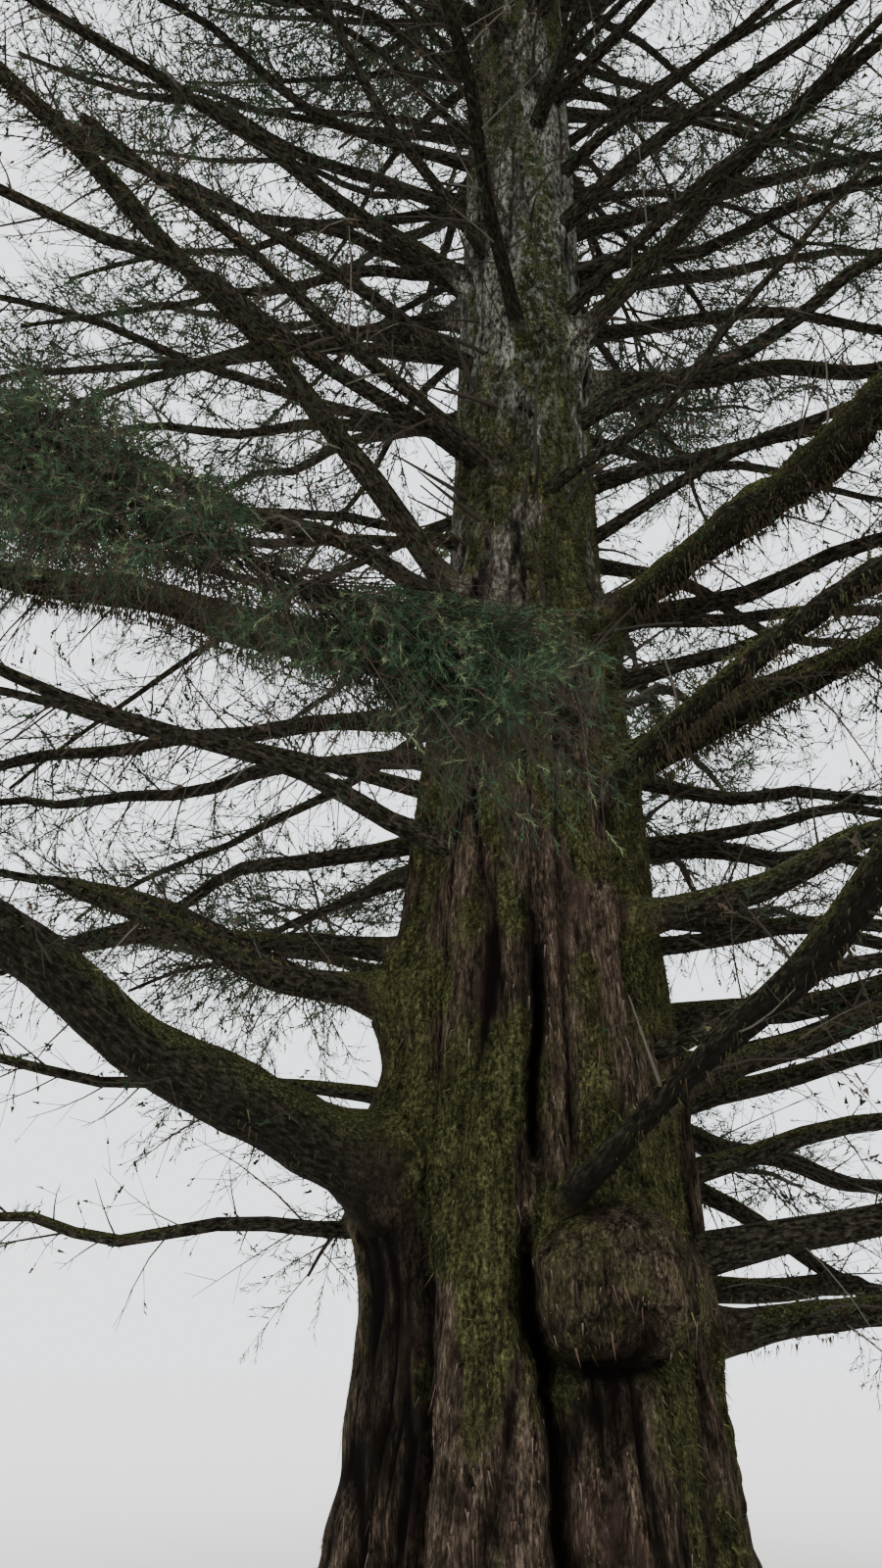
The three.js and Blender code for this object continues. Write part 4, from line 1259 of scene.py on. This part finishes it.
def build_bark_tubes(name, paths, radii, nodes):
    """Round limbs with bark and patches of moss, as one mesh."""
    count, rings, _ = paths.shape
    wood = Gathered()
    points, faces, outward = tubes(paths, radii, THIN_SIDES)
    wood.add(points, faces)
    piece, = wood.make(name, [BOUGH_BARK], "bough_bark", nodes, True)
    patchy = smooth((noise(points[:, 0] * 1.3 + points[:, 2], points[:, 1] * 1.3, 73) - 0.25) / 0.4)
    set_attributes(piece, moss=smooth((outward[:, 2] + 0.3) / 0.9) * patchy)
    steps = np.linalg.norm(np.diff(paths, axis=1, prepend=paths[:, :1]), axis=-1)
    along_it = np.cumsum(steps, axis=1) + 7.0 * np.arange(count)[:, None]
    turn = np.tile(np.arange(THIN_SIDES), count * rings) / THIN_SIDES
    set_on_bough(piece, np.repeat(along_it.ravel(), THIN_SIDES), turn, np.repeat(radii.ravel(), THIN_SIDES))


def build_stems(stems):
    """The stems of the masses, each going on from its bough or from the trunk."""
    t = np.linspace(0, 1, THIN_RINGS)
    paths = np.stack([stem_path(stem)(t) for stem in stems])
    radii = np.stack([mix(stem["radius"], 0.016, t ** 0.8) for stem in stems])
    build_bark_tubes("mass_stems", paths, radii, [stem["name"] for stem in stems])


def thin_bough_paths(azimuth, heading, height, rise, lift, length):
    """Paths of the thin boughs, which start inside the trunk's bark and bend a little."""
    away = flat(heading)
    t = np.linspace(-0.05, 1, THIN_RINGS)[None, :]
    s = t * length[:, None]
    number = np.arange(len(height))[:, None]
    hold = 0.4 * np.sin(np.pi * np.clip(t, 0, 1))
    sway = (noise(s * 0.9, number * 1.7, 71) - 0.5) * hold
    level = np.stack([-away[:, 1], away[:, 0], away[:, 2]], -1)
    paths = trunk_point(azimuth, height)[:, None] + away[:, None] * s[..., None]
    paths = paths + level[:, None] * sway[..., None]
    paths[..., 2] += rise[:, None] * s + lift[:, None] * s * np.maximum(t, 0) / 2
    paths[..., 2] += (noise(s * 1.1, number * 2.3, 72) - 0.5) * hold
    return paths, t, s


def build_thin_boughs(foliage):
    """The thin boughs and their leafy branchlets, which start nearer to the trunk higher up."""
    *places, length, root = thin_bough_rows().T
    height = places[2]
    paths, t, s = thin_bough_paths(*places, length)
    collar = 1 + 0.4 * np.exp(-np.maximum(s, 0) / 0.12)
    radii = root[:, None] / 2 * mix(1.0, 0.35, np.clip(t, 0, 1)) * collar
    build_bark_tubes("thin_boughs", paths, radii, CROWN_NODES)
    per = np.clip((length * 4.2).astype(int), 7, 24)
    leafy_from = mix(0.42, 0.10, smooth((height - 14) / 12))
    for count in np.unique(per):
        some = per == count
        low = np.repeat(leafy_from[some], count)
        found = child_twigs(paths[some], int(count), low, 1.0, 50, length[some] * 0.20 + 0.38, (0, 0.2), 0.8)
        ends = ends_of(*found)
        foliage.clothe(*only(out_of_the_way(ends) & clear_of_trunk(ends, 0.1), *found), THIN_SPACING)
    return paths, length


# Dead twigs inside the crown

DEAD_PER_BOUGH, DEAD_PER_LOW_BOUGH, DEAD_PER_THIN = 64, 22, 36
LOW_BOUGHS = 5.2
HIDDEN_SHARE = 0.08
SEEN_MARGIN = 120
PALE_SHARE = 0.15
DRY_SHARE = 0.6
STUBS = 190


def add_dead(wood, tufts, start, way, size, fall, radius):
    """Bare twigs with finer ones and some dry tufts on them, few where the photograph doesn't look."""
    keep = seen(start, SEEN_MARGIN) | (RNG.random(len(start)) < HIDDEN_SHARE)
    start, way, size, fall = only(keep, start, way, size, fall)
    long = size * RNG.uniform(0.30, 1.3, len(size))
    paths = twig_paths(start, way, long, fall, 4, random_unit(len(start)) * 0.18)
    pale = RNG.random(len(start)) < PALE_SHARE
    thick = radius * RNG.uniform(0.6, 1.4, len(start))
    for number, some in enumerate((~pale, pale)):
        add_twigs(wood, paths[some], thick[some], thick[some] * 0.3, 3, number)
    shown = seen(start, SEEN_MARGIN)
    start, way, size, fall = child_twigs(paths[shown], 3, 0.25, 0.98, 48, long[shown] * 0.45, (0.0, 0.5))
    finer = twig_paths(start, way, size, fall * 0.5, 2)
    add_twigs(wood, finer, radius * 0.42, 0.0018)
    some = RNG.random(len(finer)) < DRY_SHARE
    tips, ways = finer[some, -1], unit(finer[some, -1] - finer[some, -2])
    tint = RNG.choice(np.array([0, 0, DEAD_TINT]), len(tips))
    add_sprays(tufts, DRY_TUFT, tips - ways * 0.01, ways, RNG.uniform(0.05, 0.12, len(tips)), tint)


def build_dead_twigs(thin_paths, thin_length):
    """Fine bare twigs on every limb, most of them drooping."""
    wood, tufts = Gathered(), Gathered()
    for seed, (name, row) in enumerate(BOUGHS.items()):
        _, points = limb_points(name, 0.0, seed)
        paths = points[np.linspace(0, len(points) - 1, 16).astype(int)][None]
        count = DEAD_PER_LOW_BOUGH if row[2] < LOW_BOUGHS else DEAD_PER_BOUGH
        add_dead(wood, tufts, *child_twigs(paths, count, 0.15, 0.99, 62, 0.95, (-0.05, 0.45)), 0.010)
    found = child_twigs(thin_paths, DEAD_PER_THIN, 0.14, 0.92, 58, thin_length * 0.13 + 0.25, (-0.1, 0.4))
    add_dead(wood, tufts, *found, 0.007)
    wood.make("dead_twigs", TWIGS, "bough_bark", CROWN_NODES)
    tufts.make("dry_tufts", NEEDLES, "foliage", CROWN_NODES)


def build_stubs():
    """Short dead stubs on the trunk."""
    height = RNG.uniform(4.8, 14.0, STUBS)
    azimuth = RNG.uniform(0, 360, STUBS)
    lifted = UP * RNG.uniform(-0.3, 0.9, STUBS)[:, None]
    way = unit(flat(azimuth + RNG.uniform(-35, 35, STUBS)) + lifted)
    start = trunk_point(azimuth, height) - flat(azimuth) * 0.05
    paths = twig_paths(start, way, RNG.uniform(0.2, 0.95, STUBS), RNG.uniform(-0.3, 0.4, STUBS), 6,
                       random_unit(STUBS) * 0.2)
    stubs = Gathered()
    add_twigs(stubs, paths, RNG.uniform(0.008, 0.028, STUBS), RNG.uniform(0.003, 0.009, STUBS), 6)
    stubs.make("trunk_stubs", TWIGS, "bough_bark", ["trunk"], True)


# Studio

def build_studio():
    """A pale floor, an even sky and one soft sun."""
    bpy.ops.mesh.primitive_plane_add(size=1600, location=(0, 0, -0.001))
    floor = bpy.context.object
    floor.name = "floor"
    floor.data.materials.append(plain_material("floor", (0.72, 0.72, 0.71), 0.9))
    world = bpy.data.worlds.new("studio")
    world.use_nodes = True
    sky = world.node_tree.nodes["Background"]
    sky.inputs["Color"].default_value = (0.93, 0.96, 1.0, 1)
    sky.inputs["Strength"].default_value = 2.3
    bpy.context.scene.world = world
    sun = bpy.data.lights.new("sun", "SUN")
    sun.energy = 3.0
    sun.angle = np.radians(14)
    sun.color = (1.0, 0.96, 0.86)
    lamp = bpy.data.objects.new("sun", sun)
    lamp.rotation_euler = np.radians((42, 0, 158))
    bpy.context.scene.collection.objects.link(lamp)


def build_camera():
    """The photograph's own view."""
    camera = bpy.data.cameras.new("camera")
    camera.sensor_width = SENSOR_WIDTH
    camera.lens = CAMERA_FOCAL_PIXELS * SENSOR_WIDTH / max(PHOTO_SIZE)
    camera.clip_end = 2000
    holder = bpy.data.objects.new("camera", camera)
    holder.location = CAMERA_AT
    holder.rotation_euler = np.radians((90 + CAMERA_TILT, 0, 0))
    bpy.context.scene.collection.objects.link(holder)
    bpy.context.scene.camera = holder


# Assembly

GROUP_OF = {"left": "left", "front": "left", "right": "right", "burl": "right", "rear": "rear"}


def build_foliage():
    """All masses, each grown from its own stem, and the thin boughs between them."""
    stems = [stem_on_bough(bough) for bough in BOUGH_FOLIAGE]
    stems += [stem_on_trunk(index) for index in range(CROWN_STEMS)] + [stem_of_leader()]
    axes = [stem_path(stem)(np.linspace(0, 1, 13)) for stem in stems]
    limbs = limb_samples()
    groups = {name: Foliage() for name in ("left", "right", "rear", "crown", "front", "thin")}
    for seed, stem in enumerate(stems):
        label = "front" if stem["name"] == FRONT_MASS else GROUP_OF.get(stem["name"].split("_")[0], "crown")
        groups[label].nodes.append(stem["name"])
        if label == "front":
            grow_front_mass(groups[label], stem)
        else:
            others = np.concatenate([axis for k, axis in enumerate(axes) if k != seed] + [limbs])
            grow_mass(groups[label], stem, seed + 1, axes[seed], others)
    build_stems(stems)
    groups["thin"].nodes = CROWN_NODES
    build_dead_twigs(*build_thin_boughs(groups["thin"]))
    build_stubs()
    for label, group in groups.items():
        group.make(label)


build_camera()
build_studio()
build_trunk()
build_trunk_moss()
build_trunk_shreds()
for number, bough_name in enumerate(BOUGHS):
    build_bough(bough_name, number)
build_moss()
build_foliage()
